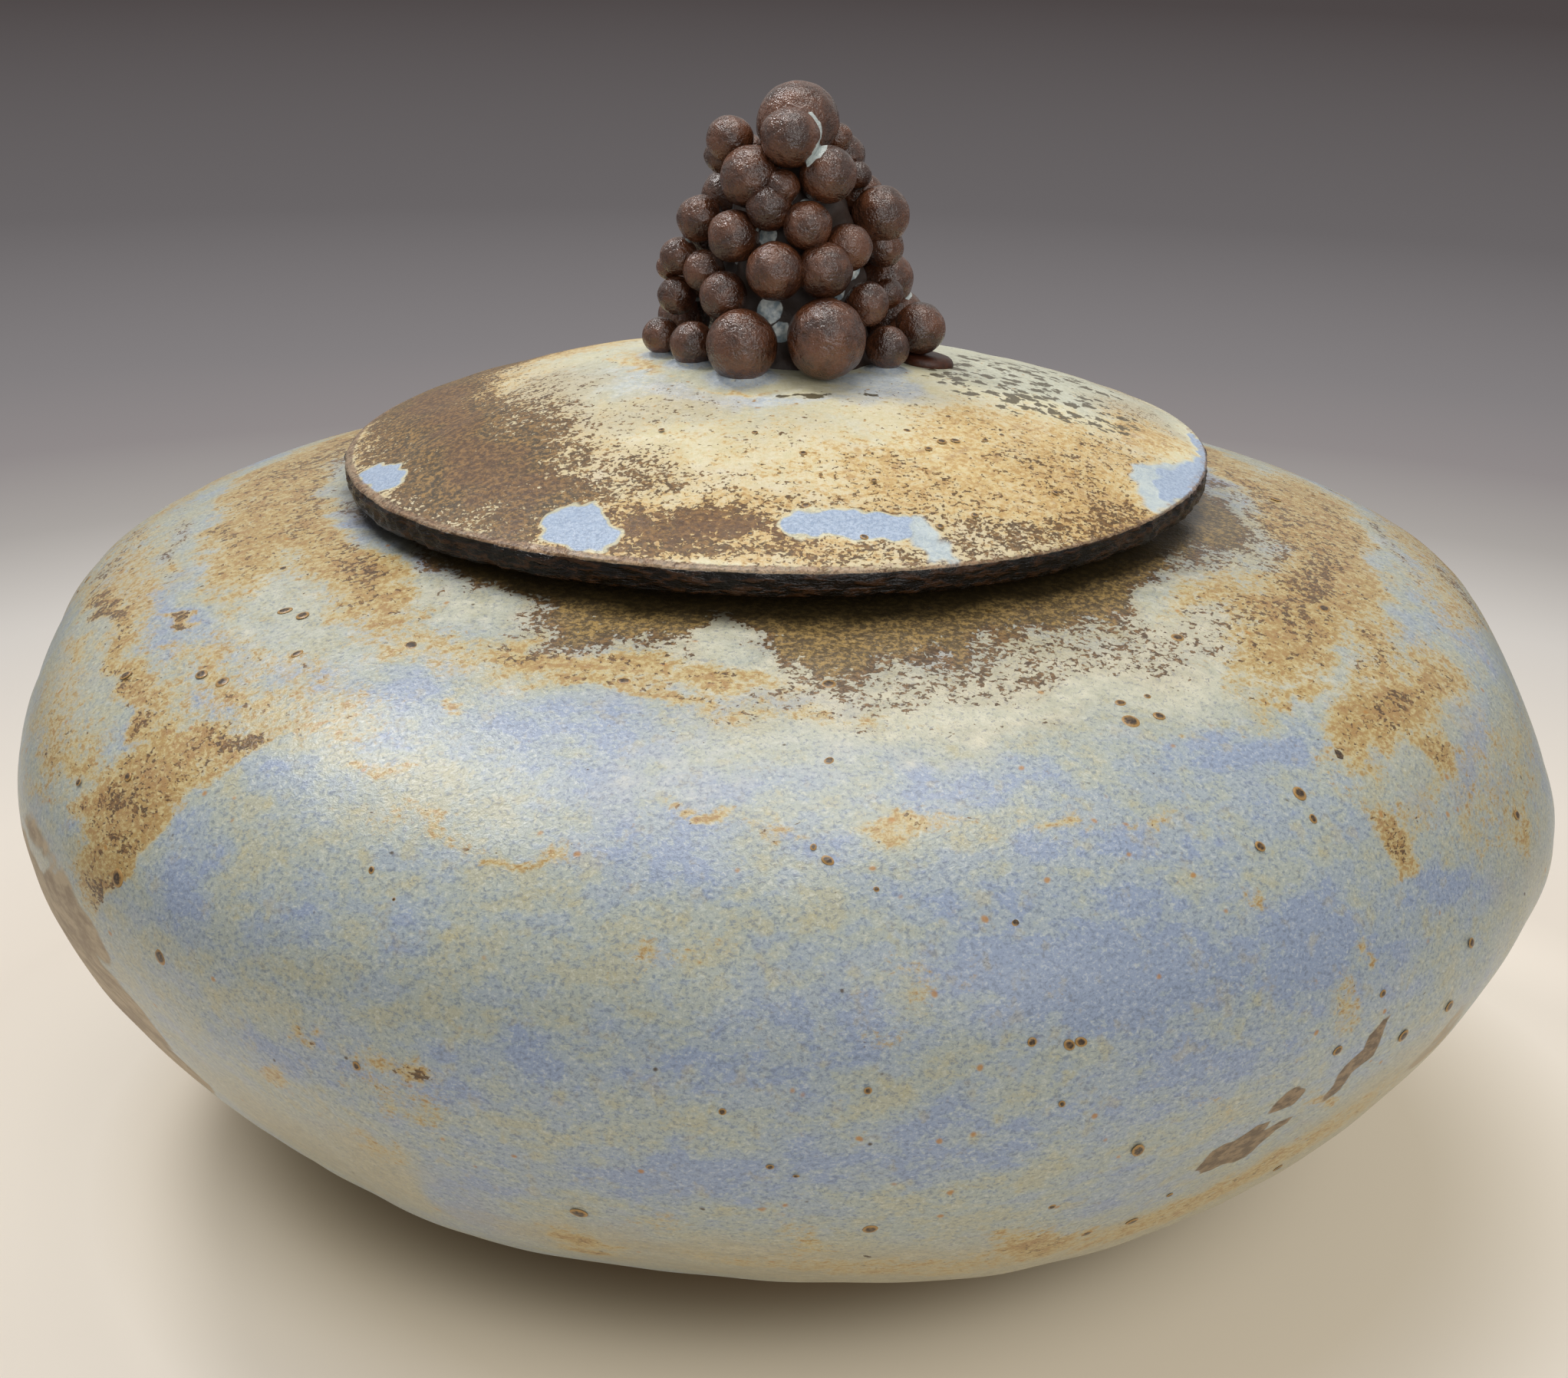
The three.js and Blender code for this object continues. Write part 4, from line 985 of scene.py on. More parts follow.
# Guessed drips at the back: place, half-widths, turn.
DRIPS_BEHIND = ((-46, 47, 5, 3.4, 30), (12, 61, 7, 3, 0), (48, 42, 4, 6, 40))
# Distances from the lowest balls over which the pale pool round them ends.
POOL_END = (4.4, 0.2)


def rim_wave(x, y):
    """Rise and fall of the hand-cut rim."""
    bearing = np.arctan2(y, x)
    return RIM_TILT * np.cos(bearing) + RIM_WAVE * np.sin(3 * bearing + 1)


def dome_height(x, y):
    """Height of the lid's upper side above its seat."""
    share = np.minimum(np.hypot(x, y) / LID_RADIUS, 1)
    return LID_RIM_TOP + LID_DOME_RISE * (1 - share ** LID_DOME_FULLNESS) + share ** 2 * rim_wave(x, y)


def rounded(corners):
    """The same outline with every corner cut off twice."""
    corners = np.array(corners, float)
    for _ in range(2):
        after = np.roll(corners, -1, axis=0)
        corners = np.stack([0.75 * corners + 0.25 * after, 0.25 * corners + 0.75 * after], 1).reshape(-1, 2)
    return corners


def outline_depth(points, outline):
    """How deep points lie inside an outline on the lid, in millimetres, positive inside."""
    corners = rounded(outline)
    inside = np.zeros(len(points), bool)
    nearest = np.full(len(points), 1e9)
    x, y = points[:, 0], points[:, 1]
    for start, end in zip(corners, np.roll(corners, -1, axis=0)):
        edge = end - start
        away = points[:, :2] - start
        share = np.clip(away @ edge / (edge @ edge), 0, 1)
        nearest = np.minimum(nearest, np.linalg.norm(away - share[:, None] * edge, axis=1))
        crossing = start[0] + (y - start[1]) * edge[0] / (edge[1] or 1e-9)
        inside ^= ((start[1] > y) != (end[1] > y)) & (x < crossing)
    return np.where(inside, nearest, -nearest)


def lid_values(points, feet):
    """What the glaze does at each point of the lid. Feet are where the lowest balls stand on it."""
    moved = wandered(wandered(points, 18, 1.3, 41), 5, 0.7, 51)
    tight = wandered(points, 3, 0.35, 61)
    x, y = points[:, 0], points[:, 1]
    drips = [outline_depth(tight, outline) for outline in LID_DRIPS]
    drips += [lid_depth(tight, *patch) for patch in DRIPS_BEHIND]
    tails = [outline_depth(tight, outline) for outline in LID_TAILS]
    foot = np.min([np.hypot(x - cx, y - cy) - girth for cx, cy, girth in feet], axis=0)
    return {
        "iron": lid_patches(moved, LID_IRON, 20),
        "ochre": lid_patches(moved, LID_OCHRE, 18),
        "red": lid_patches(moved, LID_RED, 8),
        "mottle": lid_patches(moved, LID_MOTTLE, 4),
        "sage": lid_patches(moved, LID_SAGE, 14),
        "pool": np.maximum(lid_patches(moved, LID_POOL, 6), 1.3 * smooth_step(foot, *POOL_END)),
        "spot": np.max(drips, axis=0),
        "tail": np.max(tails, axis=0),
        "foot": foot,
    }


DOME_RINGS = np.linspace(0.4, 65.5, LID_ROWS)
RIM_PROFILE = (
    (66.05, 3.42), (66.45, 3.12), (66.8, 2.65), (66.95, 2.15), (66.8, 1.6), (66.75, 1.1), (66.6, 0.6), (66.45, 0.1),
    (66.2, -0.35), (65.7, -0.62), (65.0, -0.55), (64.2, -0.3),
)
UNDER_PROFILE = ((60, 0.0), (54, 0.0), (46, 0.0), (42.5, 0.3))
# Hollow under the dome, inside the flange.
VAULT_REACH = 42
VAULT_THICKNESS = 5.5
VAULT_FULLNESS = 3.4
VAULT_RINGS = np.linspace(41.5, 1, 14)
# How much of the rim's own finish lies on each row: part on the bead along its top, all on the dark band below.
BEAD_ROWS = (LID_ROWS, LID_ROWS + 1, LID_ROWS + 2)
BEAD_SHARES = (0.36, 0.4, 1)
# The bead's pale tone is partly a painted highlight, so it shows more at the left, where the light falls, than at the
# right, from one place across the lid to another.
BEAD_HIGHLIGHT_LEFT = 0.34
BEAD_HIGHLIGHT_LOSS = 0.24
BEAD_HIGHLIGHT_FADE = (-10, 30)
BEAD_START = (64.9, 65.5)
# Rows of the rim that the tool left rough.
ROUGH_ROWS = range(LID_ROWS + 2, LID_ROWS + 11)
LID_SWELL = 0.22
MENISCUS_RISE = 1.1
MENISCUS_REACH = 1.1


def lid_grid():
    """Rings of the lid: out over the dome, round the rim, in underneath and up into the hollow."""
    around = bearings_round(LID_COLUMNS)
    cos, sin = np.cos(around), np.sin(around)
    wave = rim_wave(cos, sin)

    def ring(reach, height):
        return np.stack([reach * cos, reach * sin, np.broadcast_to(height, cos.shape)], -1)

    rows = [ring(reach, dome_height(reach * cos, reach * sin)) for reach in DOME_RINGS]
    rows += [ring(reach, height + wave) for reach, height in RIM_PROFILE]
    rows += [ring(reach, height) for reach, height in UNDER_PROFILE]
    vault = LID_RIM_TOP + LID_DOME_RISE - VAULT_THICKNESS
    rows += [ring(reach, vault * (1 - (reach / VAULT_REACH) ** VAULT_FULLNESS)) for reach in VAULT_RINGS]
    return np.stack(rows)


def ball_feet(balls):
    """Place and girth of each ball that stands on the dome, where it meets it."""
    feet = []
    for centre, radius in balls:
        height = centre[2] - dome_height(centre[0], centre[1])
        if height < radius:
            feet.append((centre[0], centre[1], math.sqrt(radius ** 2 - height ** 2)))
    return feet


def make_lid(balls):
    """Skin of the lid. The glaze climbs a little where it meets the lowest balls."""
    shell = Shell()
    grid = lid_grid()
    rows = len(grid)
    flat = grid.reshape(-1, 3)
    row = np.repeat(np.arange(rows), LID_COLUMNS)
    top = row < LID_ROWS
    band = np.isin(row, ROUGH_ROWS)
    values = lid_values(flat, ball_feet(balls))
    flat[top, 2] += MENISCUS_RISE * np.exp(-np.maximum(values["foot"][top], 0) / MENISCUS_REACH)
    outward = unit(flat * [1, 1, 0] + [0, 0, 1e-9])
    rough = ripple(flat, 2.2, 81) * 0.16 + ripple(flat, 9, 82) * 0.14
    flat[band] -= outward[band] * np.clip(0.3 + rough[band], 0, 1)[:, None]
    swell = np.clip(0.6 * ripple(flat, 30, 83) + 0.3 * ripple(flat, 11, 84), -1, 1) - 1
    flat[top, 2] += LID_SWELL * swell[top]
    reach = np.hypot(flat[:, 0], flat[:, 1])
    bead = BEAD_HIGHLIGHT_LEFT - BEAD_HIGHLIGHT_LOSS * smooth_step(flat[:, 0], *BEAD_HIGHLIGHT_FADE)
    values["rim"] = np.where(top, bead * smooth_step(reach, *BEAD_START), np.interp(row, BEAD_ROWS, BEAD_SHARES))
    values["rim"] -= (BEAD_HIGHLIGHT_LEFT - bead) * (row == LID_ROWS)
    grid = flat.reshape(grid.shape)
    first, last = shell.grid(grid[::-1])
    shell.cap(last, LID_COLUMNS, grid[0].mean(0), True)
    shell.cap(first, LID_COLUMNS, grid[-1].mean(0), False)
    for name, value in values.items():
        layered = value.reshape(rows, LID_COLUMNS)[::-1].reshape(-1)
        values[name] = np.concatenate([layered, [value[0], value[-1]]])
    shell.move(LID_PLACE)
    piece = shell.mesh_object("lid_dome_glazed", lid_glaze(), values)
    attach(piece, "lid")
    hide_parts("lid_dome")


LID_CREAM = ("#ccc7a3", "#dfdcc4")
LID_SAGE_GREEN = ("#acae9b", "#c8cab7")
LID_TAN = ("#dac995", "#c39f5c")
LID_POOLED = ("#a7b5c5", "#ced7da")
CREAM_GRAINS = "#dcd5b6"
LID_TAN_DOT, LID_BROWN_DOT = "#a37a3a", "#4d371d"
LID_IRON_BROWN = ("#2d1c0c", "#92703c")
LID_RED_BROWN = ("#4f3123", "#7d5638")
PIT_BROWN = "#483d24"
TAIL_BLUE = ("#a6b4bd", "#c2ccca")
DRIP_LIP = "#cfceb4"
DRIP_BLUE = ("#8fa1bb", "#adbdd1")
# Bead colours: thin glaze over clay, the paler one partly a painted highlight.
BEAD_BROWN_AND_HIGHLIGHT = ("#4e3624", "#a18468")
BAND_BROWN = ("#080402", "#3a2311")


def lid_glaze():
    """The body's glaze on the lid: iron on the left, cream and ochre on the right, blue drips and pool."""
    g = Finish("lid_glaze")
    felt = g.noise(0.5, detail=3, rough=0.8)
    fleck = g.noise(1.5, detail=3, rough=0.65, offset=9)
    cloud = g.noise(6, detail=4, rough=0.6, offset=4)
    woven = g.step(g.sum((0.4, felt), (0.35, fleck), (0.25, cloud)), 0.38, 0.62)

    # Cream and sage, ochre, and the pale pool round the knob.
    sage = g.step(g.sum((1, g.value("sage")), (0.9, cloud), (0.4, fleck), -0.7), 0.1, 0.8)
    colour = g.mix(g.mix(*LID_CREAM, woven), g.mix(*LID_SAGE_GREEN, woven), sage)
    colour = with_ochre(g, colour, g.times(g.value("ochre"), 0.9), *LID_TAN)
    pool = g.step(g.sum((1, g.value("pool")), (1.1, cloud), (0.8, fleck), -0.95), 0.0, 1.1)
    colour = g.mix(colour, g.mix(*LID_POOLED, woven), pool)
    grain = g.noise(0.8, detail=3, rough=0.7, bend=0.3, offset=44)
    colour = g.tint(colour, CREAM_GRAINS, grain, 0.47, 0.34, 0.5)

    # Stray dots, iron, red where the iron is thickest, and the pitted patch at the right.
    colour = g.mix(colour, LID_TAN_DOT, g.times(g.dots(2.6, 0.42), 0.8))
    colour = g.mix(colour, LID_BROWN_DOT, g.times(g.dots(3.4, 0.38, offset=5), 0.9))
    colour, dark = with_iron(g, colour, g.value("iron"), LID_IRON_BROWN, size=0.42, halo=0.4)
    red = g.step(g.sum((1, g.value("red")), (1, cloud), (0.6, fleck), -0.8), 0.15, 0.85)
    colour = g.mix(colour, g.tint(*LID_RED_BROWN, felt, 0.38, 0.62), g.times(red, g.times(dark, 0.45)))
    pits = g.sum((1, g.value("mottle")), (1, g.dots(2.7, 1.6, offset=8, warp=0.9)), (0.6, fleck))
    colour = g.tint(colour, PIT_BROWN, pits, 1.45, 1.8, 0.9)

    # Blue drips, each with a pale lip, and their tails.
    edge = g.sum((1, g.value("spot")), (0.6, fleck), -0.3)
    tail = g.sum((1, g.value("tail")), (0.8, fleck), -0.4)
    colour = g.tint(colour, g.mix(*TAIL_BLUE, woven), tail, -0.5, 0.7)
    lip = g.times(g.step(edge, -0.35, 0.0), g.step(tail, 0.3, -0.3))
    colour = g.mix(colour, DRIP_LIP, g.times(lip, 0.75))
    colour = g.tint(colour, g.tint(*DRIP_BLUE, felt, 0.38, 0.64), edge, 0.1, 0.6)

    # The rim: brown bead along its top, paler in part as a painted highlight, near-black wrinkled band below.
    rim = g.value("rim")
    bead = g.tint(*BEAD_BROWN_AND_HIGHLIGHT, g.sum((0.6, felt), (0.4, fleck)), 0.42, 0.6)
    colour = g.tint(colour, bead, g.sum((1, rim), (0.6, fleck), -0.3), 0.08, 0.3, 0.85)
    wrinkle = g.noise(1.3, detail=3, rough=0.65, stretch=(2.4, 2.4, 0.6), offset=31)
    band = g.step(g.sum((1, rim), (0.4, fleck), -0.2), 0.5, 0.66)
    colour = g.mix(colour, g.tint(*BAND_BROWN, wrinkle, 0.47, 0.62), band)

    rough = g.blend(g.blend(0.38, 0.18, g.times(pool, 0.8)), 0.2, band)
    raised = g.step(edge, -0.2, 0.6)
    height = g.sum((0.5, felt), (0.9, fleck), (0.4, dark), (0.8, raised), (5, g.times(band, wrinkle)))
    gloss = g.blend(g.blend(0.5, 0.28, dark), 0.3, band)
    return g.finish(colour, rough, g.bump(height, 0.12), specular=gloss)


FLANGE_PROFILE = (
    (43.4, -0.35), (43.4, -8.2), (43.6, -8.75), (44.2, -8.98), (46, -8.98), (46.6, -8.75), (46.8, -8.2),
    (46.8, -0.35), (43.4, -0.35),
)
FLANGE_COLUMNS = 240


def make_flange():
    shell = Shell()
    shell.grid(lathe(FLANGE_PROFILE, FLANGE_COLUMNS))
    shell.move(LID_PLACE)
    piece = shell.mesh_object("lid_flange_turned", bare_clay("flange_clay", "#6d4f3c", "#96735a"))
    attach(piece, "lid")
    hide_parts("lid_flange")


# The knob

# Rounds of fitting a sphere, first to the points farthest out, then to all that lie on it.
FIT_ROUNDS = 30
FIRST_ROUNDS = 12
# The lumps' noise level at which a surface stays where it is.
LUMP_MIDDLE = 0.62


def ball_of(node):
    """Centre and radius of a ball, from the part of it that isn't pressed flat."""
    points = np.array([(node.matrix_world @ corner.co)[:] for corner in node.data.vertices]) / MM
    keep = np.ones(len(points), bool)
    for turn in range(FIT_ROUNDS):
        near = points[keep]
        answer = np.linalg.lstsq(np.c_[2 * near, np.ones(len(near))], (near ** 2).sum(1), rcond=None)[0]
        centre = answer[:3]
        radius = math.sqrt(answer[3] + centre @ centre)
        off = np.linalg.norm(points - centre, axis=1) - radius
        keep = off > np.percentile(off, 35) if turn < FIRST_ROUNDS else off > -0.01 * radius
    return centre, radius


def scatter_tree(name, shape, settings):
    """Geometry nodes that set one shape at every point, turned, sized and made lumpy by the point's own values."""
    tree = bpy.data.node_groups.new(name, "GeometryNodeTree")
    for label, kind in (
        ("Points", "Geometry"), ("Lump size", "Float"), ("Lump depth", "Float"), ("Material", "Material"),
    ):
        tree.interface.new_socket(label, in_out="INPUT", socket_type="NodeSocket" + kind)
    tree.interface.new_socket("Mesh", in_out="OUTPUT", socket_type="NodeSocketGeometry")
    n = Nodes(tree)
    start = n.add("NodeGroupInput").outputs

    def value(key, kind):
        return n.add("GeometryNodeInputNamedAttribute", {"Name": key}, data_type=kind).outputs["Attribute"]

    # The shape, with each corner's distance from its upright axis kept for the finish.
    body = n.add(shape, settings).outputs["Mesh"]
    place = n.add("GeometryNodeInputPosition").outputs[0]
    level = n.add("ShaderNodeVectorMath", {0: place, 1: (1, 1, 0)}, operation="MULTIPLY").outputs[0]
    reach = n.add("ShaderNodeVectorMath", {0: level}, operation="LENGTH").outputs["Value"]
    kept = n.add("GeometryNodeStoreNamedAttribute", {
        "Geometry": body, "Name": "reach", "Value": reach,
    }, data_type="FLOAT").outputs["Geometry"]

    # One at every point.
    instance = n.add("GeometryNodeInstanceOnPoints", {
        "Points": start["Points"], "Instance": kept,
        "Rotation": value("turn", "FLOAT_VECTOR"), "Scale": value("size", "FLOAT_VECTOR"),
    }).outputs["Instances"]
    real = n.add("GeometryNodeRealizeInstances", {"Geometry": instance}).outputs["Geometry"]

    # Soft lumps, different on each one.
    noise = n.add("ShaderNodeTexNoise", {
        "Vector": place, "W": value("ball", "FLOAT"), "Scale": start["Lump size"], "Detail": 1,
    }, noise_dimensions="4D").outputs["Fac"]
    centred = n.add("ShaderNodeMath", {0: noise, 1: LUMP_MIDDLE}, operation="SUBTRACT").outputs[0]
    depth = n.add("ShaderNodeMath", {0: centred, 1: start["Lump depth"]}, operation="MULTIPLY").outputs[0]
    push = n.add("ShaderNodeVectorMath", {
        0: n.add("GeometryNodeInputNormal").outputs[0], "Scale": depth,
    }, operation="SCALE").outputs[0]
    moved = n.add("GeometryNodeSetPosition", {"Geometry": real, "Offset": push}).outputs["Geometry"]
    dressed = n.add("GeometryNodeSetMaterial", {"Geometry": moved, "Material": start["Material"]})
    n.add("NodeGroupOutput", {"Mesh": dressed.outputs["Geometry"]})
    return tree


def scattered(name, tree, points, values, settings):
    """Plain mesh made by setting a shape at every point."""
    mesh = bpy.data.meshes.new(name + "_points")
    mesh.from_pydata(np.asarray(points).tolist(), [], [])
    for key, value in values.items():
        value = np.asarray(value, np.float32)
        vector = value.ndim == 2
        layer = mesh.attributes.new(key, "FLOAT_VECTOR" if vector else "FLOAT", "POINT")
        layer.data.foreach_set("vector" if vector else "value", value.reshape(-1))
    holder = bpy.data.objects.new(name, mesh)
    bpy.context.scene.collection.objects.link(holder)
    modifier = holder.modifiers.new("scatter", "NODES")
    modifier.node_group = tree
    for item in tree.interface.items_tree:
        if item.in_out == "INPUT" and item.name in settings:
            modifier[item.identifier] = settings[item.name]
    graph = bpy.context.evaluated_depsgraph_get()
    plain = bpy.data.meshes.new_from_object(holder.evaluated_get(graph))
    holder.modifiers.clear()
    holder.data = plain
    plain.name = name
    plain.shade_smooth()
    return holder


BALL_BROWN = ("#361d11", "#653d27")
CAUGHT_GLAZE = "#c3ccca"


def knob_clay():
    """Dark stoneware with a satin skin over fine grit, and pale glaze caught in some of the creases."""
    g = Finish("knob_clay")
    grit = g.noise(1.15, detail=3, rough=0.7)
    soft = g.noise(5, offset=14)
    colour = g.tint(*BALL_BROWN, g.sum((0.35, grit), (0.65, soft)), 0.36, 0.66)
    caught = g.step(g.sum((1, g.value("crease")), (0.5, grit), -0.25), 0.4, 0.6)
    colour = g.mix(colour, CAUGHT_GLAZE, caught)
    rough = g.blend(g.blend(0.14, 0.32, grit), 0.2, caught)
    return g.finish(colour, rough, g.bump(grit, 0.5), specular=0.85)


# Pale runs of glaze in the creases at the front: across from the knob's axis, height above its foot, reach, width.
CREASE_GLAZE = (
    (3.0, 36.6, 1.2, 1.6), (3.7, 34.8, 1.5, 2.0), (4.0, 33.0, 1.4, 1.5), (3.2, 31.0, 1.3, 0.9),
    (13.3, 14.1, 1.6, 0.5), (-4.2, 19.5, 1.6, 0.5), (7.9, 10.6, 1.4, 0.5), (3.1, 22.8, 1.4, 0.6),
    (-14.8, 18.1, 1.8, 0.5), (-15.9, 6.1, 1.8, 0.5), (-3.5, 8.5, 2.0, 0.7), (-1.3, 5.1, 1.8, 0.7),
    (13.2, 4.4, 1.6, 0.5), (-10.4, 11.8, 1.4, 0.4),
)
# How close a ball has to lie for pale glaze to catch at the back, and where it does: hills of a random field.
CATCH_GAP = (0.5, 0.1)
CATCH_LENGTH = 8
CATCH_HILLS = (0.35, 0.6)


def add_creases(piece, chosen, balls):
    """Marks where a ball lies close to its neighbours and pale glaze has caught."""
    corners = np.empty(len(piece.data.vertices) * 3, np.float32)
    piece.data.vertices.foreach_get("co", corners)
    points = corners.reshape(-1, 3) / MM
    own = np.repeat(chosen, len(points) // len(chosen))
    gap = np.full(len(points), 99.0)
    for index, (centre, radius) in enumerate(balls):
        away = np.linalg.norm(points - centre, axis=1) - radius
        gap = np.where(own == index, gap, np.minimum(gap, away))
    across, deep, high = (points - KNOB_FOOT).T
    hills = smooth_step(ripple(points, CATCH_LENGTH, 93), *CATCH_HILLS)
    caught = hills * smooth_step(gap, *CATCH_GAP) * (deep > 0)
    for x, height, reach, width in CREASE_GLAZE:
        near = smooth_step(np.hypot(across - x, high - height), 1.3 * reach, 0.8 * reach) * (deep < 2)
        caught = np.maximum(caught, near * smooth_step(gap, width, 0.4 * width))
    layer = piece.data.attributes.new("crease", "FLOAT", "POINT")
    layer.data.foreach_set("value", caught.astype(np.float32))


# Balls with a greater radius than this are the large ones, with a finer mesh.
FINE_BALL = 3.4
BALL_LUMPS = {"Lump size": 280.0, "Lump depth": 0.0006}
# Least and most of its radius that a ball has along each way.
BALL_ROUNDNESS = (0.965, 1.0)


def make_balls(name, balls, large, clay, subdivisions, seed):
    """The large or the small balls, each a little out of round, as one piece."""
    chosen = [index for index, (_, radius) in enumerate(balls) if (radius > FINE_BALL) == large]
    tree = scatter_tree("balls", "GeometryNodeMeshIcoSphere", {"Radius": 1, "Subdivisions": subdivisions})
    random = np.random.default_rng(seed)
    turns = random.uniform(0, 6, (len(chosen), 3))
    roundness = random.uniform(*BALL_ROUNDNESS, (len(chosen), 3))
    values = {
        "ball": [3.7 * index for index in chosen],
        "turn": turns,
        "size": np.array([[balls[index][1] * MM] * 3 for index in chosen]) * roundness,
    }
    points = [balls[index][0] * MM for index in chosen]
    piece = scattered(name, tree, points, values, {**BALL_LUMPS, "Material": clay})
    add_creases(piece, chosen, balls)
    return piece


# Cone between the balls: reach and height from the knob's foot.
CONE = ((14.6, -1.5), (13.6, 0), (12.0, 4), (11.4, 9), (10.4, 16), (8.7, 23), (6.4, 26.8), (3.8, 29.6))
CONE_COLUMNS = 120
CONE_ROWS = 64
# Where pale glaze has run in between the balls: bearing round the knob from the front, height, reach of the patch.
GAP_GLAZE = (
    (-16, 8.4, 2.0), (-6, 5.2, 1.6), (-24, 19.5, 1.6), (16, 23.2, 1.8), (44, 11, 1.4), (66, 14, 2),
    (-62, 16, 2), (120, 8, 5), (170, 14, 5), (215, 5, 5), (250, 18, 5), (150, 24, 4),
)


def make_core():
    """Clay cone that the balls are pressed on, painted dark between them as painted shade in the gaps, with pale
    glaze run into some gaps.
    """
    heights = np.linspace(CONE[0][1], CONE[-1][1], CONE_ROWS)
    reaches = np.interp(heights, [height for _, height in CONE], [reach for reach, _ in CONE])
    flat = lathe(list(zip(reaches, heights)), CONE_COLUMNS).reshape(-1, 3)
    glaze = np.zeros(len(flat))
    for bearing, height, size in GAP_GLAZE:
        turn = math.radians(bearing - 90)
        reach = np.interp(height, heights, reaches)
        away = np.linalg.norm(flat - [reach * math.cos(turn), reach * math.sin(turn), height], axis=1)
        glaze = np.maximum(glaze, smooth_step(away, 1.25 * size, 0.75 * size))
    uneven = 1 + 0.03 * ripple(flat, 5, 91) - 0.02
    flat = flat * np.stack([uneven, uneven, np.ones(len(flat))], -1)
    shell = Shell()
    first, last = shell.grid(flat.reshape(CONE_ROWS, CONE_COLUMNS, 3))
    shell.cap(first, CONE_COLUMNS, (0, 0, heights[0]), False)
    shell.cap(last, CONE_COLUMNS, (0, 0, heights[-1]), True)
    shell.move(KNOB_FOOT)
    piece = shell.mesh_object("knob_core_glazed", core_glaze(), {"glaze": [*glaze, 0, 0]})
    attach(piece, "lid")
    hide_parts("knob_core")


def core_glaze():
    """Clay painted darker than the balls' clay, as painted shade in the gaps between them, with pale glaze run over
    part of it.
    """
    g = Finish("core_glaze")
    fleck = g.noise(1.5, detail=3, offset=3)
    # Near-black clay: painted shade in the gaps between the balls.
    clay = g.mix("#1e130e", "#3b2a21", fleck)
    pale = g.tint("#84949c", "#dbe0dc", fleck, 0.36, 0.64)
    share = g.step(g.sum((1, g.value("glaze")), (0.7, fleck), -0.35), 0.35, 0.6)
    return g.finish(g.mix(clay, pale, share), g.blend(0.6, 0.2, share), g.bump(fleck, 0.2))


# Flattened pad of red clay, placed from the lid's axis.
PAD_X = 23.17
PAD_Y = 5.87
PAD_RADIUS = 4.2
PAD_COLUMNS = 96
# Share of the radius and height above the dome, from the foot up.
PAD_PROFILE = (
    (0.98, -0.6), (1.0, 0.1), (0.985, 0.5), (0.94, 0.85), (0.85, 1.1), (0.7, 1.25), (0.5, 1.3), (0.3, 1.3),
)


def make_pad():
    """Smooth squashed disc of clay under the ball that stands out at the right."""
    around = bearings_round(PAD_COLUMNS)
    wobble = PAD_RADIUS * (0.97 + 0.03 * np.cos(3 * around + 1))
    rings = []
    for share, lift in PAD_PROFILE:
        x = PAD_X + share * wobble * np.cos(around)
        y = PAD_Y + share * wobble * np.sin(around)
        rings.append(np.stack([x, y, dome_height(x, y) + lift], -1))
    shell = Shell()
    first, last = shell.grid(np.stack(rings))
    shell.cap(first, PAD_COLUMNS, rings[0].mean(0), False)
    shell.cap(last, PAD_COLUMNS, rings[-1].mean(0), True)
    shell.move(LID_PLACE)
    piece = shell.mesh_object("knob_foot_pad_pressed", bare_clay("red_clay", "#2c1207", "#4a230f", 0.45, 0.08))
    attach(piece, "lid")
    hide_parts("knob_foot_pad")


# Iron spots: small melted beads that stand a little proud of the glaze

# On the lid: place from its axis, radius.
LID_DOTS = (
    (24, -31, 0.8), (26, -30, 0.6), (30.5, -28, 0.5), (19, -29, 0.6), (22, -34, 0.5), (-16.5, -31, 0.6),
    (4, -39, 0.6), (-3, -33, 0.5), (40, -39.5, 0.6), (28, -50, 0.6), (4.5, -52.5, 0.7), (12.5, -58.5, 0.6),
    (-3, -59, 0.5), (-6, -46, 0.6), (14, -45, 0.4), (23, -54, 0.7), (-23, -12, 0.9), (33, -25, 0.5),
)
SPOT_LUMPS = {"Lump size": 900.0, "Lump depth": 0.0001}
# Least of its radius that a bead has one way and the other, then most.
SPOT_ROUNDNESS = ((0.85, 0.75), (1.3, 1.05))
# How deep a bead's middle lies in the glaze.
SUNK_IN_WALL = 0.25
SUNK_IN_LID = 0.15
SPOTS_BEHIND = 110


def spot_finish():
    """Near-black bead with a rusty edge."""
    g = Finish("iron_spot")
    fleck = g.noise(0.4)
    dark = g.tint("#33261a", "#5f4a30", fleck, 0.4, 0.65)
    rusty = g.sum((1, g.value("reach")), (0.5, fleck), -0.25)
    return g.finish(g.tint(dark, "#a07c45", rusty, 0.45, 0.85), 0.35, g.bump(fleck, 0.05))


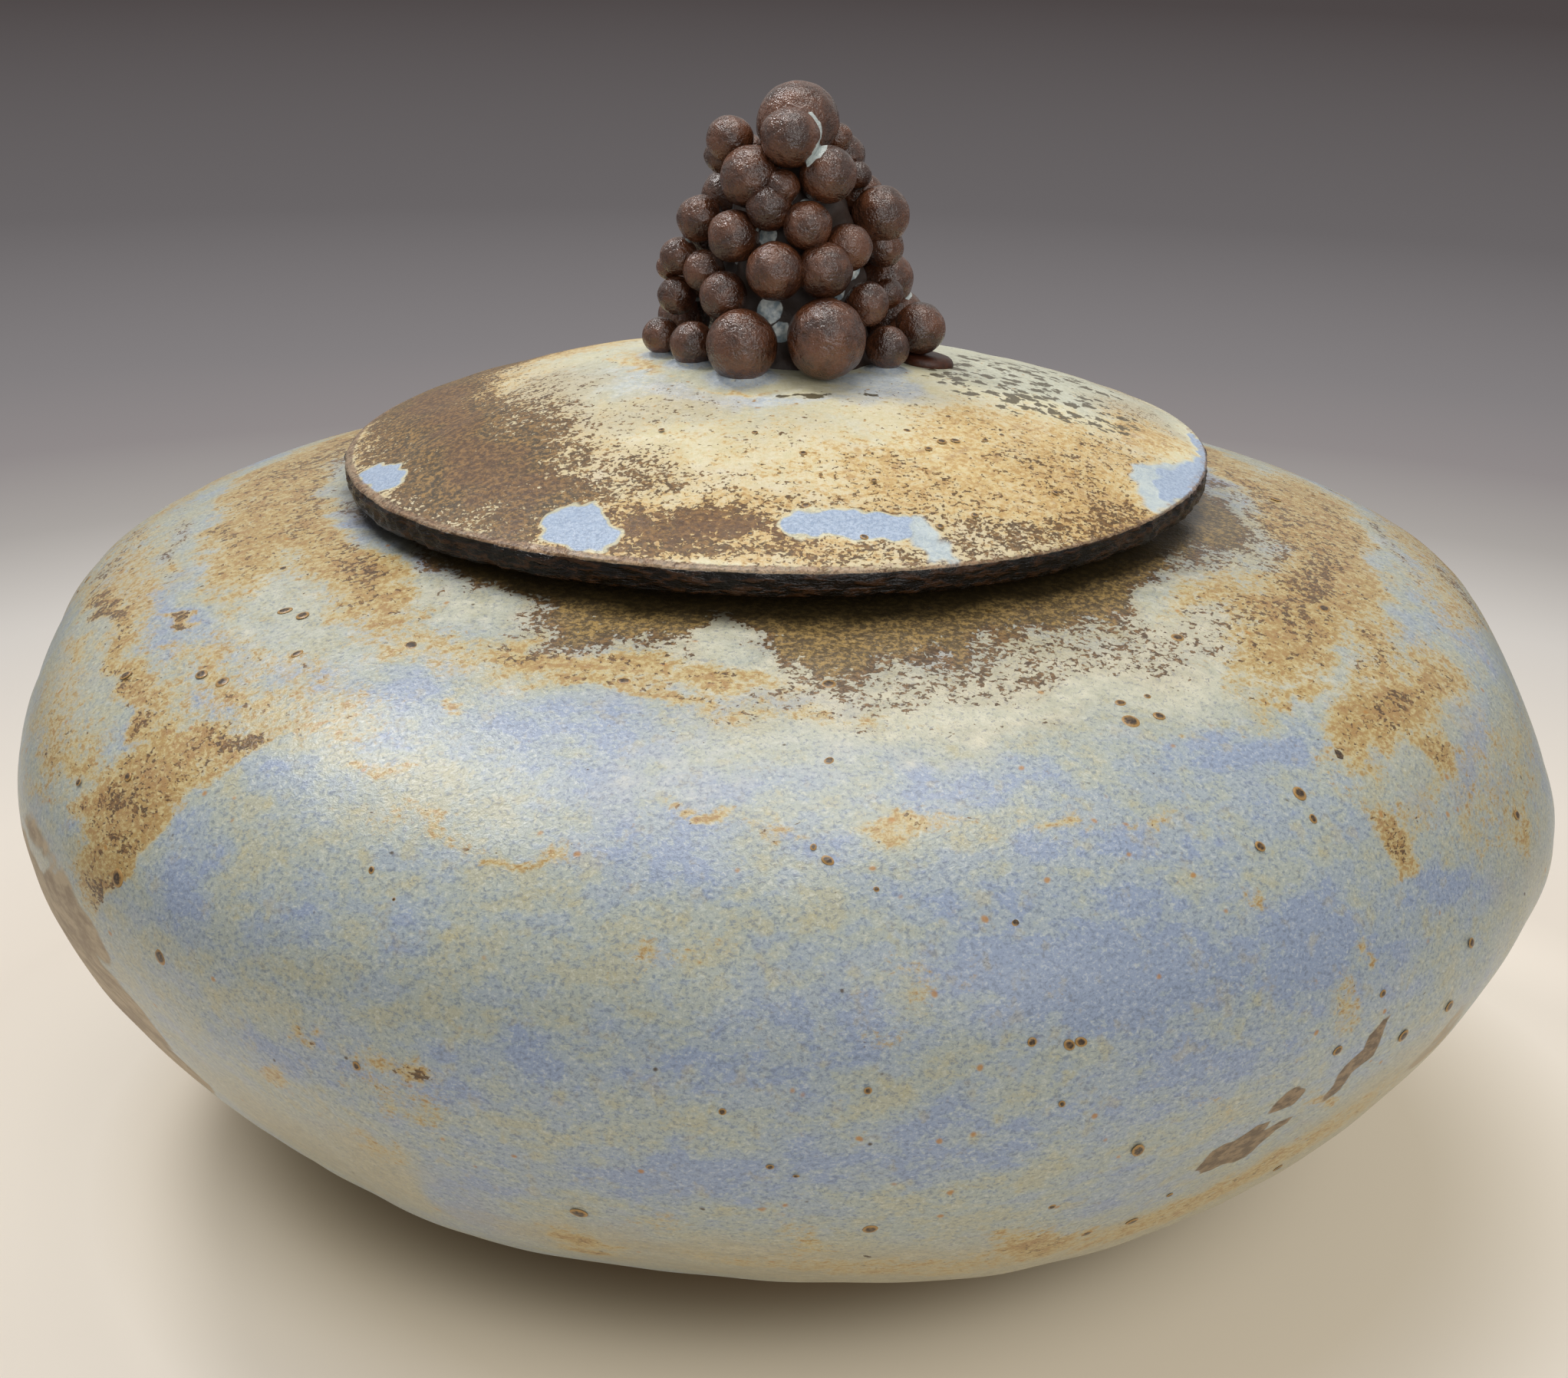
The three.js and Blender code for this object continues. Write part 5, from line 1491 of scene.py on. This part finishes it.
def make_spots(name, places, seed):
    """Beads on a surface, each placed by a point, the way out of the wall, and a radius."""
    random = np.random.default_rng(seed)
    turns, sizes = [], []
    for _, out, radius in places:
        lean = Vector(out).to_track_quat("Z", "Y").to_matrix()
        turns.append((lean @ Matrix.Rotation(random.uniform(0, 6.28), 3, "Z")).to_euler()[:])
        across = radius * random.uniform(*SPOT_ROUNDNESS)
        sizes.append((across[0] * MM, across[1] * MM, (0.05 + 0.09 * radius) * MM))
    tree = scatter_tree(name, "GeometryNodeMeshUVSphere", {"Radius": 1, "Segments": 16, "Rings": 8})
    values = {"turn": turns, "size": sizes, "ball": 1.7 * np.arange(len(places))}
    points = [np.asarray(point) * MM for point, _, _ in places]
    return scattered(name, tree, points, values, {**SPOT_LUMPS, "Material": spot_finish()})


def wall_spot(bearing, tilt, radius):
    """A spot's place on the wall, the way out there, and its radius."""
    b, t = math.radians(bearing), math.radians(tilt)
    step = 0.01
    east = wall_point(b + step, t) - wall_point(b - step, t)
    north = wall_point(b, t + step) - wall_point(b, t - step)
    out = unit(np.cross(east, north))
    return wall_point(b, t) - SUNK_IN_WALL * out, out, radius


def lid_spot(x, y, radius):
    """A spot's place on the lid, the way out there, and its radius."""
    step = 0.5
    rise_x = dome_height(x + step, y) - dome_height(x - step, y)
    rise_y = dome_height(x, y + step) - dome_height(x, y - step)
    out = unit(np.array([-rise_x, -rise_y, 1.0]))
    return LID_PLACE + [x, y, dome_height(x, y)] - SUNK_IN_LID * out, out, radius


def spots_behind(count, seed):
    """Spots for the sides that the photograph doesn't show, as sparse as those at the front."""
    random = np.random.default_rng(seed)
    return [
        (random.uniform(-12, 195), random.uniform(-22, 26), 0.35 + 0.9 * random.random() ** 2)
        for _ in range(count)
    ]


# The lid and all that it carries, then the spots on the body

ball_names = [f"knob_ball_{index:02d}" for index in range(1, BALL_COUNT + 1)]
balls = [ball_of(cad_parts[name]) for name in ball_names]
make_lid([(centre - LID_PLACE, radius) for centre, radius in balls])
make_flange()
make_core()
make_pad()
clay = knob_clay()
large_balls = make_balls("knob_balls_large", balls, True, clay, 5, 7)
small_balls = make_balls("knob_balls_small", balls, False, clay, 4, 8)
for piece, large in ((large_balls, True), (small_balls, False)):
    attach(piece, "lid")
    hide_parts(*[name for name, (_, radius) in zip(ball_names, balls) if (radius > FINE_BALL) == large])
wall_spots = [wall_spot(*spot) for spot in (*IRON_SPOTS, *spots_behind(SPOTS_BEHIND, 17))]
body_spots = make_spots("iron_spots_body", wall_spots, 5)
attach(body_spots, "jar")
lid_spots = make_spots("iron_spots_lid", [lid_spot(*dot) for dot in LID_DOTS], 6)
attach(lid_spots, "lid")
